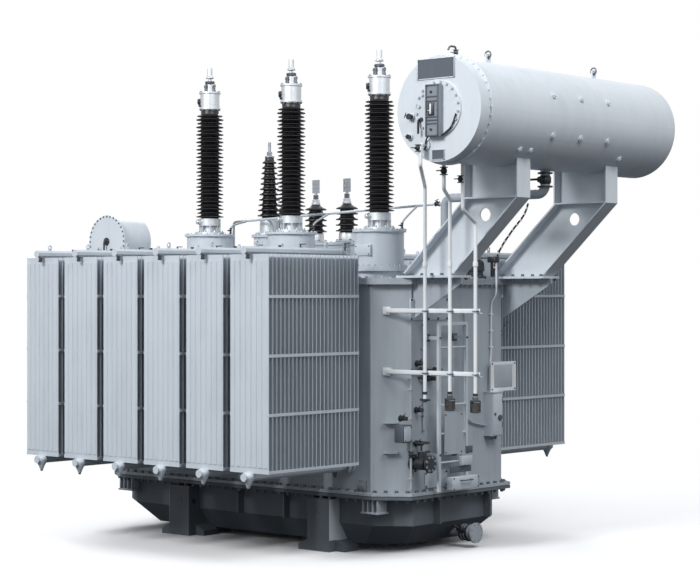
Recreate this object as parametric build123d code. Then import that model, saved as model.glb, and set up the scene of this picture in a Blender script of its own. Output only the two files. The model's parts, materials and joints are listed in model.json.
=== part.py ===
"""Oil-filled three-phase power transformer.

+X runs along the tank towards the oil conservator, +Y runs across it, +Z is up, and the ground is at zero.
The plan is laid out from the middle of the tank. At the end everything moves along X, so that the
origin is under the middle of the whole machine.
"""

import math
import os

from build123d import *

OUT = "parts"
OVERRUN = 5.0

# Tank: a bell that stands on a shallow tray, both with cut corners.
tank_length = 4380.0
tank_width = 2040.0
corner_cut_x = 340.0
corner_cut_y = 240.0
joint_level = 622.0
tank_top = 2850.0
cover_thickness = 35.0
flange_reach = 55.0
joint_flange_reach = 75.0
flange_thickness = 32.0
gasket_thickness = 6.0
gasket_recess = 22.0

# Tray under the bell, carried by two cradles.
tray_inset_x = 50.0
tray_inset_y = 90.0
tray_knuckle_level = 300.0
tray_bottom_level = 80.0
tray_slope_x = 230.0
tray_slope_y = 160.0
tray_rib_thickness = 14.0
tray_rib_reach = 90.0
tray_rib_places = (-75.0, 615.0)
tray_end_rib_places = (-330.0, 540.0)

cradle_pitch = 2100.0
cradle_shift = 134.0
cradle_width = 310.0
cradle_length = 2200.0
cradle_top = 560.0
cradle_hole_radius = 32.0
cradle_hole_level = 385.0
cradle_foot_reach = 125.0
cradle_foot_width = 220.0
cradle_foot_height = 120.0
cradle_foot_inset = 110.0

# Small shelves on the cut corners.
shelf_reach = 70.0
shelf_width = 150.0
shelf_thickness = 14.0
shelf_levels = (1075.0, 1385.0)

# Radiators: two rows of six, each a stack of flat panels between an upper and a lower header.
radiator_count = 6
radiator_pitch = 626.0
panel_count = 24
panel_width = 520.0
panel_thickness = 9.0
panel_bottom = 950.0
panel_top = 3113.0
stack_outer = 2553.0
stack_inner = 1190.0
header_radius = 42.0
header_sides = 8
header_overhang = 75.0
flute_count = 7
flute_depth = 9.0
flute_share = 0.62
flute_margin = 60.0
strap_height = 30.0
strap_thickness = 6.0
strap_levels = (968.0, 1528.0, 2110.0, 2694.0)
stub_radius = 38.0
stub_bend = 46.0
stub_bend_share = 0.9
stub_level = 2690.0
stub_flange_radius = 74.0
stub_flange_thickness = 20.0
valve_thickness = 36.0

# High voltage bushings.
hv_pitch = 1282.0
hv_shift = 204.0
hv_line = -450.0
hv_turret_radius = 265.0
hv_turret_neck_radius = 250.0
hv_turret_rim_radius = 300.0
hv_turret_neck = 78.0
hv_turret_rim = 54.0
hv_turret_top = 3404.0
hv_turret_lid = 24.0
hv_turret_lid_reach = 25.0
hv_foot_flange_radius = 170.0
hv_foot_flange_thickness = 28.0
hv_foot_neck_radius = 80.0
hv_foot_neck = 75.0
hv_foot_collar_radius = 125.0
hv_foot_collar = 82.0
hv_foot_web_count = 8
hv_foot_web_thickness = 12.0
hv_core_radius = 100.0
hv_shed_radius = 153.0
hv_small_shed_radius = 136.0
hv_shed_count = 14
hv_shed_pitch = 86.4
hv_cap_radius = 112.0
hv_cap_rim_radius = 124.0
hv_cap_rim = 20.0
hv_cap_height = 202.0
hv_cap_neck = 12.0
hv_boss_radius = 52.0
hv_boss_height = 82.0
hv_stem_radius = 20.0
hv_stem_height = 80.0
hv_stud_radius = 30.0
hv_stud_length = 116.0

# Porcelain sheds: a thin lip, an upper face that falls away from the core, a flatter underside.
shed_lip = 6.0
shed_rise = 20.0
shed_hollow = 5.0

# Neutral bushing.
neutral_x = -740.0
neutral_y = 200.0
neutral_turret_radius = 185.0
neutral_core_foot_radius = 90.0
neutral_core_head_radius = 42.0
neutral_shed_foot_radius = 145.0
neutral_shed_head_radius = 70.0
neutral_shed_count = 11
neutral_shed_pitch = 62.0
neutral_foot_radius = 115.0
neutral_foot = 200.0
neutral_stud_radius = 18.0
neutral_stud_length = 180.0

# Low voltage bushings on a shared box.
lv_pitch = 486.0
lv_middle_x = -456.0
lv_line = 700.0
lv_box_width = 320.0
lv_box_margin = 190.0
lv_box_top = 3320.0
lv_box_rim = 30.0
lv_box_rim_reach = 25.0
lv_core_radius = 68.0
lv_shed_radius = 118.0
lv_shed_count = 4
lv_shed_pitch = 66.0
lv_crown = 66.0
lv_foot_radius = 100.0
lv_foot = 120.0
lv_foot_flange_radius = 135.0
lv_foot_flange_thickness = 24.0
lv_cap_radius = 40.0
lv_cap_height = 60.0
lv_stem_radius = 18.0
lv_stem_height = 80.0
lv_palm_width = 100.0
lv_palm_height = 157.0
lv_palm_thickness = 20.0
lv_palm_hole_radius = 7.0
lv_palm_hole_pitch = 50.0

# Conservator across the end of the tank.
conservator_x = 3330.0
conservator_z = 4493.0
conservator_radius = 508.0
conservator_wall = 8.0
conservator_front = -1770.0
conservator_back = 1700.0
conservator_dome = 170.0
end_cap_depth = 160.0
end_flange_reach = 26.0
end_flange_thickness = 14.0
manhole_radius = 275.0
manhole_thickness = 16.0
lug_width = 80.0
lug_height = 90.0
lug_thickness = 14.0
lug_hole_radius = 20.0
lug_places = (-980.0, 890.0)
boss_radius = 34.0
boss_reach = 14.0
boss_places = (-530.0, -45.0, 445.0)
boss_levels = (4285.0, 4683.0)
low_boss_places = (-946.0, -764.0, 827.0)
low_boss_level = 4130.0

# Brackets and saddles under the conservator.
bracket_lines = (-745.0, 836.0)
bracket_foot_x = 2120.0
bracket_span = 665.0
bracket_rise = 790.0
bracket_run = 810.0
bracket_flange_width = 220.0
bracket_plate = 16.0
bracket_pad_thickness = 24.0
bracket_pad_margin = 40.0
bracket_hole_radius = 66.0
bracket_hole_x = 3125.0
bracket_hole_z = 3515.0
saddle_depth_share = 0.3
gusset_depth = 430.0
gusset_toe = 60.0

# Small fittings.
plate_thickness = 6.0
name_plate_width = 455.0
name_plate_height = 200.0
name_plate_rise = 388.0
name_plate_shift = -30.0
gauge_width = 160.0
gauge_height = 500.0
gauge_depth = 60.0
gauge_shift = -20.0
gauge_drop = 20.0
data_plate_width = 155.0
data_plate_height = 100.0
data_plate_drop = 440.0

# Oil riser with its gas relay, and the gas collecting pipe.
riser_x = 2030.0
riser_radius = 50.0
riser_top = 3747.0
riser_bend = 95.0
riser_flange_radius = 95.0
riser_flange_thickness = 22.0
relay_x = 2780.0
relay_width = 190.0
relay_length = 230.0
relay_height = 210.0
relay_head_radius = 66.0
relay_head_height = 62.0
gas_pipe_radius = 14.0
gas_pipe_start_x = -1130.0
gas_pipe_start_level = 3566.0
gas_pipe_end_level = 3690.0
gas_pipe_bend = 40.0

# Conservator service pipes on the end wall.
service_line = -950.0
service_pipe_radius = 26.0
service_bend = 55.0
service_pipe_places = (2550.0, 2870.0, 3190.0)
service_pipe_bottoms = (1662.0, 1674.0, 1665.0)
service_bend_levels = (3812.0, 3670.0, 3428.0)
service_bend_rises = (130.0, 75.0, 120.0)
service_tops = ((3180.0, -1860.0, 4150.0), (3105.0, -1400.0, 4300.0), (3230.0, -1260.0, 4300.0))
service_rail_levels = (1916.0, 2546.0)
service_rail_size = 50.0
service_rail_end = 3330.0
breather_radius = 55.0
breather_height = 130.0

# Ladder on the end wall.
ladder_y = -282.0
ladder_width = 460.0
ladder_gap = 156.0
ladder_stile = 34.0
ladder_top = 2426.0
ladder_rung_radius = 11.0
ladder_rung_pitch = 300.0
ladder_foot_levels = (1040.0, 2260.0)
ladder_guard_width = 310.0
ladder_guard_height = 436.0
ladder_guard_bottom = 1040.0
ladder_guard_thickness = 5.0

# Terminal box and the board beside it.
cabinet_y = 555.0
cabinet_width = 170.0
cabinet_depth = 120.0
cabinet_height = 475.0
cabinet_bottom = 1180.0
board_width = 460.0
board_height = 320.0
board_level = 1820.0
board_thickness = 5.0
board_gap = 50.0
board_y = 752.0
board_frame = 34.0

# Drain valve low on the tray and filter valve on the end wall.
drain_y = 200.0
drain_level = 160.0
drain_pipe_radius = 54.0
drain_end_x = 2300.0
drain_flange_radius = 110.0
drain_flange_thickness = 20.0
drain_bolt_circle = 180.0
drain_bolt_radius = 9.0
drain_bolt_count = 8
drain_body_radius = 88.0
drain_body_length = 120.0
drain_body_gap = 70.0
filter_y = -740.0
filter_level = 965.0
filter_pipe_radius = 38.0
filter_pipe_length = 210.0
filter_body_radius = 66.0
filter_flange_radius = 92.0
filter_flange_thickness = 20.0
filter_bonnet_radius = 40.0
filter_bonnet_height = 60.0
wheel_radius = 85.0
wheel_rim_radius = 9.0
wheel_stem = 90.0
wheel_stem_radius = 11.0
wheel_hub_radius = 20.0
wheel_spoke_count = 4
wheel_rim_sides = 8
wheel_spoke_width = 10.0

# Small oil vessel at the other end of the tank.
vessel_x = -2350.0
vessel_front = -900.0
vessel_length = 500.0
vessel_radius = 290.0
vessel_level = 3340.0
vessel_flange_reach = 20.0
vessel_flange_thickness = 18.0
vessel_dome = 60.0
vessel_arm_lines = (-780.0, -540.0)
vessel_arm_width = 80.0
vessel_arm_height = 100.0
vessel_arm_reach = 560.0
vessel_saddle_width = 380.0
vessel_pipe_x = -2200.0
vessel_pipe_radius = 30.0

MM3_PER_M3 = 1e9


half_length = tank_length / 2
half_width = tank_width / 2
cover_top = tank_top + cover_thickness
front_end = conservator_x + conservator_radius + end_flange_reach
rear_end = vessel_x - vessel_radius - vessel_flange_reach
frame_shift = (front_end + rear_end) / 2
header_top_level = panel_top + header_radius * math.cos(math.pi / header_sides)
header_bottom_level = panel_bottom - header_radius * math.cos(math.pi / header_sides)


def octagon(length, width, cut_x, cut_y):
    """A rectangle with cut corners, as a face on the ground plane."""
    x, y = length / 2, width / 2
    points = [
        (x - cut_x, -y), (x, -y + cut_y), (x, y - cut_y), (x - cut_x, y),
        (-x + cut_x, y), (-x, y - cut_y), (-x, -y + cut_y), (-x + cut_x, -y),
    ]
    return make_face(Polyline(*points, close=True))


def slab(face, low, high):
    """A face on the ground plane made a slab between two levels."""
    return Pos(0, 0, low) * extrude(face, high - low)


def block(x0, x1, y0, y1, z0, z1):
    """A box between two corners."""
    middle = ((x0 + x1) / 2, (y0 + y1) / 2, (z0 + z1) / 2)
    return Pos(*middle) * Box(abs(x1 - x0), abs(y1 - y0), abs(z1 - z0))


def drum_z(radius, low, high, x=0, y=0):
    """An upright round bar between two levels."""
    return Pos(x, y, (low + high) / 2) * Cylinder(radius, high - low)


def drum_x(radius, x0, x1, y, z):
    """A round bar along X."""
    return Pos((x0 + x1) / 2, y, z) * Rot(0, 90, 0) * Cylinder(radius, abs(x1 - x0))


def drum_y(radius, y0, y1, x, z):
    """A round bar along Y."""
    return Pos(x, (y0 + y1) / 2, z) * Rot(90, 0, 0) * Cylinder(radius, abs(y1 - y0))


def plate_xz(points, y, thickness):
    """A flat plate that stands along X, centred on y, from its outline in X and Z."""
    outline = make_face(Polyline(*[(x, 0, z) for x, z in points], close=True))
    return Pos(0, y, 0) * extrude(outline, thickness / 2, dir=(0, 1, 0), both=True)


def pipe(points, radius, bend):
    """A round pipe along straight runs with equal bends."""
    path = FilletPolyline(*points, radius=bend)
    start = Vector(points[1]) - Vector(points[0])
    section = Plane(origin=points[0], z_dir=start) * Circle(radius)
    return sweep(section, path=path)


def fuse(pieces):
    """One solid from pieces that touch."""
    whole = pieces[0]
    for piece in pieces[1:]:
        whole = whole + piece
    return whole


# The tank and what it stands on.

def joint_outline(reach):
    """The tank's outline in plan, grown by a reach all round."""
    grown = 2 * reach
    return octagon(tank_length + grown, tank_width + grown, corner_cut_x, corner_cut_y)


def make_tray():
    """The shallow lower tank: upright walls, then sloping ones down to a smaller floor."""
    side = half_width - tray_inset_y
    end = half_length - tray_inset_x
    wall = octagon(2 * end, 2 * side, corner_cut_x, corner_cut_y)
    floor = octagon(
        2 * (end - tray_slope_x), 2 * (side - tray_slope_y), corner_cut_x, corner_cut_y,
    )
    flange_low = joint_level - flange_thickness
    body = slab(wall, tray_knuckle_level, flange_low)
    hopper = loft([Pos(0, 0, tray_bottom_level) * floor, Pos(0, 0, tray_knuckle_level) * wall])
    flange = slab(joint_outline(joint_flange_reach), flange_low, joint_level)
    ribs = []
    half = tray_rib_thickness / 2
    for sign in (-1, 1):
        for x in tray_rib_places:
            ribs.append(block(
                x - half, x + half, sign * side, sign * (side + tray_rib_reach),
                tray_knuckle_level, flange_low,
            ))
        for y in tray_end_rib_places:
            ribs.append(block(
                sign * end, sign * (end + tray_rib_reach), y - half, y + half,
                tray_knuckle_level, flange_low,
            ))
    return fuse([body, hopper, flange, *ribs])


def make_cradles():
    """Two box-shaped cradles with feet: a beam on the ground that turns up beside the tray."""
    side = half_width - tray_inset_y
    end = cradle_length / 2
    room = octagon(tank_length, 2 * side, corner_cut_x, corner_cut_y)
    floor = octagon(tank_length, 2 * (side - tray_slope_y), corner_cut_x, corner_cut_y)
    upper = slab(room, tray_knuckle_level, cradle_top + OVERRUN)
    lower = loft([Pos(0, 0, tray_bottom_level) * floor, Pos(0, 0, tray_knuckle_level) * room])
    cradles = []
    for sign in (-1, 1):
        middle = cradle_shift + sign * cradle_pitch / 2
        x0, x1 = middle - cradle_width / 2, middle + cradle_width / 2
        whole = block(x0, x1, -end, end, 0, cradle_top)
        for hand in (-1, 1):
            whole = whole + make_cradle_foot(x0, -1, hand, end)
            whole = whole + make_cradle_foot(x1, 1, hand, end - cradle_foot_inset)
        whole = whole - upper - lower
        for hand in (-1, 1):
            hole_y = hand * (side + end) / 2
            whole = whole - drum_x(
                cradle_hole_radius, x0 - OVERRUN, x1 + OVERRUN, hole_y, cradle_hole_level
            )
        cradles.append(whole)
    return Compound(children=cradles)


def make_cradle_foot(face, sign, hand, outer):
    """A low block on the ground beside a cradle, with a sloping top."""
    reach = face + sign * cradle_foot_reach
    half = cradle_foot_width / 2
    return plate_xz(
        [(face, 0), (reach, 0), (reach, cradle_foot_height / 2), (face, cradle_foot_height)],
        hand * (outer - half), cradle_foot_width,
    )


def make_gasket():
    """The soft joint between tray and bell, set back from the flange edge."""
    outline = joint_outline(joint_flange_reach - gasket_recess)
    return slab(outline, joint_level, joint_level + gasket_thickness)


def make_tank():
    """The bell: plain walls, a foot flange, a head flange and corner shelves."""
    low = joint_level + gasket_thickness
    body = slab(joint_outline(0), low, tank_top)
    foot = slab(joint_outline(joint_flange_reach), low, low + flange_thickness)
    head = slab(joint_outline(flange_reach), tank_top - flange_thickness, tank_top)
    pieces = [body, foot, head]
    turn = math.degrees(math.atan2(corner_cut_x, corner_cut_y))
    for level in shelf_levels:
        for sx in (-1, 1):
            for sy in (-1, 1):
                corner_x = sx * (half_length - corner_cut_x / 2)
                corner_y = sy * (half_width - corner_cut_y / 2)
                facing = sx * sy * turn if sx > 0 else sx * sy * turn + 180
                shelf = Box(2 * shelf_reach, shelf_width, shelf_thickness)
                pieces.append(Pos(corner_x, corner_y, level) * Rot(0, 0, facing) * shelf)
    return fuse(pieces)


def make_cover():
    """The flat lid bolted to the bell."""
    return slab(joint_outline(flange_reach), tank_top, cover_top)


# Radiators.

def radiator_places():
    """The middle of each radiator along X."""
    middle = (radiator_count - 1) / 2
    return [(i - middle) * radiator_pitch for i in range(radiator_count)]


def fluted_panel(x, outer_y):
    """The outermost panel: a flat sheet with upright pressed flutes on its outer face."""
    inner_y = outer_y + flute_depth + panel_thickness
    sheet_y = outer_y + flute_depth
    left = x - panel_width / 2
    step = panel_width / flute_count
    points = [(left, inner_y), (left, sheet_y)]
    for i in range(flute_count):
        middle = left + (i + 1 / 2) * step
        top_half = step * flute_share / 2
        foot_half = (step / 2 + top_half) / 2
        points += [
            (middle - foot_half, sheet_y), (middle - top_half, outer_y),
            (middle + top_half, outer_y), (middle + foot_half, sheet_y),
        ]
    points += [(left + panel_width, sheet_y), (left + panel_width, inner_y)]
    fluted = make_face(Polyline(*points, close=True))
    sheet = block(
        left, left + panel_width, sheet_y, inner_y, panel_bottom, panel_top
    )
    return sheet + slab(fluted, panel_bottom + flute_margin, panel_top - flute_margin)


def make_radiator(x):
    """One radiator of the front row: panels between an upper and a lower header."""
    outer, inner = -stack_outer, -stack_inner
    first = outer + flute_depth
    pitch = (inner - panel_thickness - first) / (panel_count - 1)
    left, right = x - panel_width / 2, x + panel_width / 2
    pieces = [fluted_panel(x, outer)]
    for i in range(1, panel_count):
        y = first + i * pitch
        pieces.append(block(left, right, y, y + panel_thickness, panel_bottom, panel_top))
    turn = 180 / header_sides
    for level in (header_bottom_level, header_top_level):
        section = Rot(0, 0, turn) * RegularPolygon(header_radius, header_sides)
        bar = extrude(section, inner - outer + header_overhang)
        pieces.append(Pos(x, inner, level) * Rot(90, 0, 0) * bar)
    return Part() + pieces


def make_radiators():
    """The front row of radiators, one solid each."""
    return [make_radiator(x) for x in radiator_places()]


def make_straps():
    """Flat bars across the panel edges, on both sides of each radiator."""
    straps = []
    for x in radiator_places():
        for sign in (-1, 1):
            near = x + sign * panel_width / 2
            for level in strap_levels:
                straps.append(block(
                    near, near + sign * strap_thickness,
                    -stack_outer + flute_depth, -stack_inner,
                    level - strap_height / 2, level + strap_height / 2,
                ))
    return straps


def make_radiator_pipes():
    """Stubs with flat valves that join each radiator to the tank wall."""
    pipes = []
    wall, end = -half_width, -stack_inner
    middle = (wall - flange_reach + end) / 2
    for x in radiator_places():
        upper = pipe(
            [(x, wall, stub_level), (x, middle, stub_level),
             (x, middle, header_top_level), (x, end, header_top_level)],
            stub_radius, min(stub_bend, abs(end - middle) * stub_bend_share),
        )
        upper_flange = drum_y(
            stub_flange_radius, wall, wall - stub_flange_thickness, x, stub_level
        )
        lower = drum_y(stub_radius, wall, end, x, header_bottom_level)
        lower_flange = drum_y(
            stub_flange_radius, wall, wall - stub_flange_thickness, x, header_bottom_level
        )
        valve_y = (wall + end) / 2
        valve = drum_y(
            stub_flange_radius, valve_y - valve_thickness / 2, valve_y + valve_thickness / 2,
            x, header_bottom_level,
        )
        pipes += [upper + upper_flange, fuse([lower, lower_flange, valve])]
    return pipes


# Bushings.

def shed(core, tip, level):
    """The outline of one shed from its underside to its root: radius and level."""
    return [
        (core, level + shed_hollow), (tip, level), (tip, level + shed_lip),
        (core, level + shed_lip + shed_rise),
    ]


def porcelain(cores, tips, small_tip, count, pitch, low):
    """A ribbed insulator as one revolved profile, tapered where foot and head differ."""
    height = (count + 1 / 2) * pitch
    points = [(0, low), (cores[0], low)]
    for i in range(count):
        rise = (i + 1 / 2) * pitch
        share = rise / height
        core = cores[0] + (cores[1] - cores[0]) * share
        points += shed(core, tips[0] + (tips[1] - tips[0]) * share, low + rise)
        if small_tip and i < count - 1:
            points += shed(core, small_tip, low + rise + pitch / 2)
    points += [(cores[1], low + height), (0, low + height)]
    return spun(points)


def hv_places():
    """The three high voltage bushings in plan."""
    return [(hv_shift + i * hv_pitch, hv_line) for i in (-1, 0, 1)]


def turret(radius, neck_radius, rim_radius, top):
    """A round turret on the cover: neck, rim, wall and lid, one revolved profile."""
    neck = cover_top + hv_turret_neck
    rim = neck + hv_turret_rim
    lid = top - hv_turret_lid
    reach = radius + hv_turret_lid_reach
    points = [
        (0, cover_top), (neck_radius, cover_top), (neck_radius, neck), (rim_radius, neck),
        (rim_radius, rim), (radius, rim), (radius, lid), (reach, lid), (reach, top), (0, top),
    ]
    return spun(points)


def spun(points):
    """A revolved solid from a profile of radius and level."""
    profile = make_face(Polyline(*[(r, 0, z) for r, z in points], close=True))
    return revolve(profile, Axis.Z)


hv_foot_top = hv_turret_top + hv_foot_flange_thickness + hv_foot_neck + hv_foot_collar
hv_insulator_top = hv_foot_top + (hv_shed_count + 1 / 2) * hv_shed_pitch
hv_cap_top = hv_insulator_top + hv_cap_neck + hv_cap_height
hv_top = hv_cap_top + hv_boss_height + hv_stem_height + hv_stud_length


def make_hv_foot():
    """The bushing's flange, its waist with upright webs, and its cemented collar."""
    flange = hv_turret_top + hv_foot_flange_thickness
    collar = flange + hv_foot_neck
    points = [
        (0, hv_turret_top), (hv_foot_flange_radius, hv_turret_top),
        (hv_foot_flange_radius, flange), (hv_foot_neck_radius, flange),
        (hv_foot_neck_radius, collar), (hv_foot_collar_radius, collar),
        (hv_foot_collar_radius, hv_foot_top), (0, hv_foot_top),
    ]
    half = hv_foot_web_thickness / 2
    web = block(0, hv_foot_collar_radius, -half, half, flange, collar)
    turn = 360 / hv_foot_web_count
    return fuse([spun(points), *[Rot(0, 0, i * turn) * web for i in range(hv_foot_web_count)]])


def make_hv_insulator():
    """The porcelain of a high voltage bushing, with a small shed between each two large ones."""
    return porcelain(
        (hv_core_radius, hv_core_radius), (hv_shed_radius, hv_shed_radius),
        hv_small_shed_radius, hv_shed_count, hv_shed_pitch, hv_foot_top,
    )


def make_hv_terminal():
    """The oil head of the bushing between two rims, with its boss, stem and round stud."""
    neck = hv_insulator_top + hv_cap_neck
    boss = hv_cap_top + hv_boss_height
    stem = boss + hv_stem_height
    rim = hv_cap_rim_radius
    points = [
        (0, hv_insulator_top), (hv_core_radius, hv_insulator_top), (hv_core_radius, neck),
        (rim, neck), (rim, neck + hv_cap_rim), (hv_cap_radius, neck + hv_cap_rim),
        (hv_cap_radius, hv_cap_top - hv_cap_rim), (rim, hv_cap_top - hv_cap_rim),
        (rim, hv_cap_top), (hv_boss_radius, hv_cap_top),
        (hv_boss_radius, boss), (hv_stem_radius, boss), (hv_stem_radius, stem),
        (hv_stud_radius, stem), (hv_stud_radius, hv_top), (0, hv_top),
    ]
    return spun(points)


neutral_foot_top = hv_turret_top + neutral_foot
neutral_insulator_top = neutral_foot_top + (neutral_shed_count + 1 / 2) * neutral_shed_pitch
neutral_top = neutral_insulator_top + neutral_stud_length


def make_neutral_turret():
    """The turret under the neutral bushing."""
    rim = neutral_turret_radius + hv_turret_rim_radius - hv_turret_radius
    neck = neutral_turret_radius - hv_turret_radius + hv_turret_neck_radius
    return turret(neutral_turret_radius, neck, rim, hv_turret_top)


def make_neutral_foot():
    """The neutral bushing's foot: a wide flange and a straight collar."""
    flange = hv_turret_top + hv_foot_flange_thickness
    points = [
        (0, hv_turret_top), (hv_foot_flange_radius, hv_turret_top),
        (hv_foot_flange_radius, flange), (neutral_foot_radius, flange),
        (neutral_foot_radius, neutral_foot_top), (0, neutral_foot_top),
    ]
    return spun(points)


def make_neutral_insulator():
    """The tapered porcelain of the neutral bushing."""
    return porcelain(
        (neutral_core_foot_radius, neutral_core_head_radius),
        (neutral_shed_foot_radius, neutral_shed_head_radius),
        0, neutral_shed_count, neutral_shed_pitch, neutral_foot_top,
    )


def make_neutral_stud():
    """The bare stud on the neutral bushing."""
    return drum_z(neutral_stud_radius, neutral_insulator_top, neutral_top)


def lv_places():
    """The three low voltage bushings in plan."""
    return [(lv_middle_x + i * lv_pitch, lv_line) for i in (-1, 0, 1)]


lv_foot_top = lv_box_top + lv_foot
lv_crown_level = lv_foot_top + lv_shed_count * lv_shed_pitch
lv_insulator_top = lv_crown_level + lv_crown
lv_cap_top = lv_insulator_top + lv_cap_height
lv_palm_bottom = lv_cap_top + lv_stem_height
lv_top = lv_palm_bottom + lv_palm_height


def make_lv_box():
    """The raised box on the cover that carries the low voltage bushings."""
    length = 2 * lv_pitch + 2 * lv_box_margin
    x0, x1 = lv_middle_x - length / 2, lv_middle_x + length / 2
    y0, y1 = lv_line - lv_box_width / 2, lv_line + lv_box_width / 2
    body = block(x0, x1, y0, y1, cover_top, lv_box_top)
    reach = lv_box_rim_reach
    rim = block(x0 - reach, x1 + reach, y0 - reach, y1 + reach, lv_box_top - lv_box_rim, lv_box_top)
    return body + rim


def make_lv_insulator():
    """Foot flange, collar and short porcelain whose top shed rises as a cone to the cap."""
    flange = lv_box_top + lv_foot_flange_thickness
    points = [
        (0, lv_box_top), (lv_foot_flange_radius, lv_box_top), (lv_foot_flange_radius, flange),
        (lv_foot_radius, flange), (lv_foot_radius, lv_foot_top), (lv_core_radius, lv_foot_top),
    ]
    for i in range(lv_shed_count):
        points += shed(lv_core_radius, lv_shed_radius, lv_foot_top + (i + 1 / 2) * lv_shed_pitch)
    points += [
        (lv_core_radius, lv_crown_level), (lv_shed_radius, lv_crown_level),
        (lv_shed_radius, lv_crown_level + shed_lip), (lv_cap_radius, lv_insulator_top),
        (0, lv_insulator_top),
    ]
    return spun(points)


def make_lv_terminal():
    """Cap, stem and a flat palm with four bolt holes."""
    cap = drum_z(lv_cap_radius, lv_insulator_top, lv_cap_top)
    stem = drum_z(lv_stem_radius, lv_cap_top, lv_palm_bottom)
    palm = block(
        -lv_palm_width / 2, lv_palm_width / 2, -lv_palm_thickness / 2, lv_palm_thickness / 2,
        lv_palm_bottom, lv_top,
    )
    middle = (lv_palm_bottom + lv_top) / 2
    half = lv_palm_hole_pitch / 2
    for x in (-half, half):
        for z in (-half, half):
            palm = palm - drum_y(
                lv_palm_hole_radius, -lv_palm_thickness, lv_palm_thickness, x, middle + z
            )
    return fuse([cap, stem, palm])


# Conservator and what carries it.

def make_conservator():
    """The long shell with a dished far end, a front flange and lifting lugs."""
    front = conservator_front + end_cap_depth
    r, wall = conservator_radius, conservator_wall
    flange = r + end_flange_reach
    back, tip = conservator_back, conservator_back + conservator_dome
    sphere = (r * r + conservator_dome ** 2) / (2 * conservator_dome)
    mid_angle = math.asin(r / sphere) / 2
    mid = (sphere * math.sin(mid_angle), tip - sphere + sphere * math.cos(mid_angle))
    inner = r - wall
    inner_tip = tip - wall
    inner_mid = (mid[0] * inner / r, mid[1] - wall)
    lip = front + end_flange_thickness
    edges = [
        Line((inner, front), (flange, front)), Line((flange, front), (flange, lip)),
        Line((flange, lip), (r, lip)), Line((r, lip), (r, back)),
        ThreePointArc((r, back), mid, (0, tip)), Line((0, tip), (0, inner_tip)),
        ThreePointArc((0, inner_tip), inner_mid, (inner, back)),
        Line((inner, back), (inner, front)),
    ]
    shell = revolve(make_face(Wire(edges)), Axis.Y)
    shell = Pos(conservator_x, 0, conservator_z) * shell
    for y in lug_places:
        top = conservator_z + r
        lug = block(
            conservator_x - lug_thickness / 2, conservator_x + lug_thickness / 2,
            y - lug_width / 2, y + lug_width / 2, top - wall / 2, top + lug_height,
        )
        eye = drum_x(
            lug_hole_radius, conservator_x - lug_thickness, conservator_x + lug_thickness,
            y, top + lug_height - lug_width / 2,
        )
        shell = shell + (lug - eye)
    return fuse([shell, *make_bosses()])


def make_bosses():
    """Round pads welded to the outer side of the shell, square to its surface."""
    places = [(y, z) for y in boss_places for z in boss_levels]
    places += [(y, low_boss_level) for y in low_boss_places]
    bosses = []
    for y, z in places:
        angle = math.asin((z - conservator_z) / conservator_radius)
        pad = Rot(0, 90, 0) * Cylinder(boss_radius, conservator_wall + boss_reach)
        reach = conservator_radius + (boss_reach - conservator_wall) / 2
        turned = Rot(0, -math.degrees(angle), 0) * Pos(reach, 0, 0) * pad
        bosses.append(Pos(conservator_x, y, conservator_z) * turned)
    return bosses


def make_end_cap():
    """The bolted end cap of the conservator, a shallow pan with a flat face."""
    r, wall = conservator_radius, conservator_wall
    front, back = conservator_front, conservator_front + end_cap_depth
    flange = r + end_flange_reach
    lip = back - end_flange_thickness
    points = [
        (0, front), (r, front), (r, lip), (flange, lip), (flange, back), (r - wall, back),
        (r - wall, front + wall), (0, front + wall),
    ]
    pan = revolve(make_face(Polyline(*points, close=True)), Axis.Y)
    return Pos(conservator_x, 0, conservator_z) * pan


def make_manhole():
    """The round inspection cover on the end cap."""
    return drum_y(
        manhole_radius, conservator_front - manhole_thickness, conservator_front,
        conservator_x, conservator_z,
    )


def make_level_gauge():
    """The upright oil level gauge on the inspection cover."""
    face = conservator_front - manhole_thickness
    middle = conservator_x + gauge_shift
    level = conservator_z - gauge_drop
    return block(
        middle - gauge_width / 2, middle + gauge_width / 2, face - gauge_depth, face,
        level - gauge_height / 2, level + gauge_height / 2,
    )


def make_end_plates():
    """The blank board above the gauge and the small blank plate below it."""
    front = conservator_front
    middle = conservator_x + name_plate_shift
    board = block(
        middle - name_plate_width / 2, middle + name_plate_width / 2,
        front - plate_thickness, front,
        conservator_z + name_plate_rise - name_plate_height / 2,
        conservator_z + name_plate_rise + name_plate_height / 2,
    )
    small = block(
        conservator_x - data_plate_width / 2, conservator_x + data_plate_width / 2,
        front - plate_thickness, front,
        conservator_z - data_plate_drop - data_plate_height / 2,
        conservator_z - data_plate_drop + data_plate_height / 2,
    )
    return [board, small]


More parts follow.
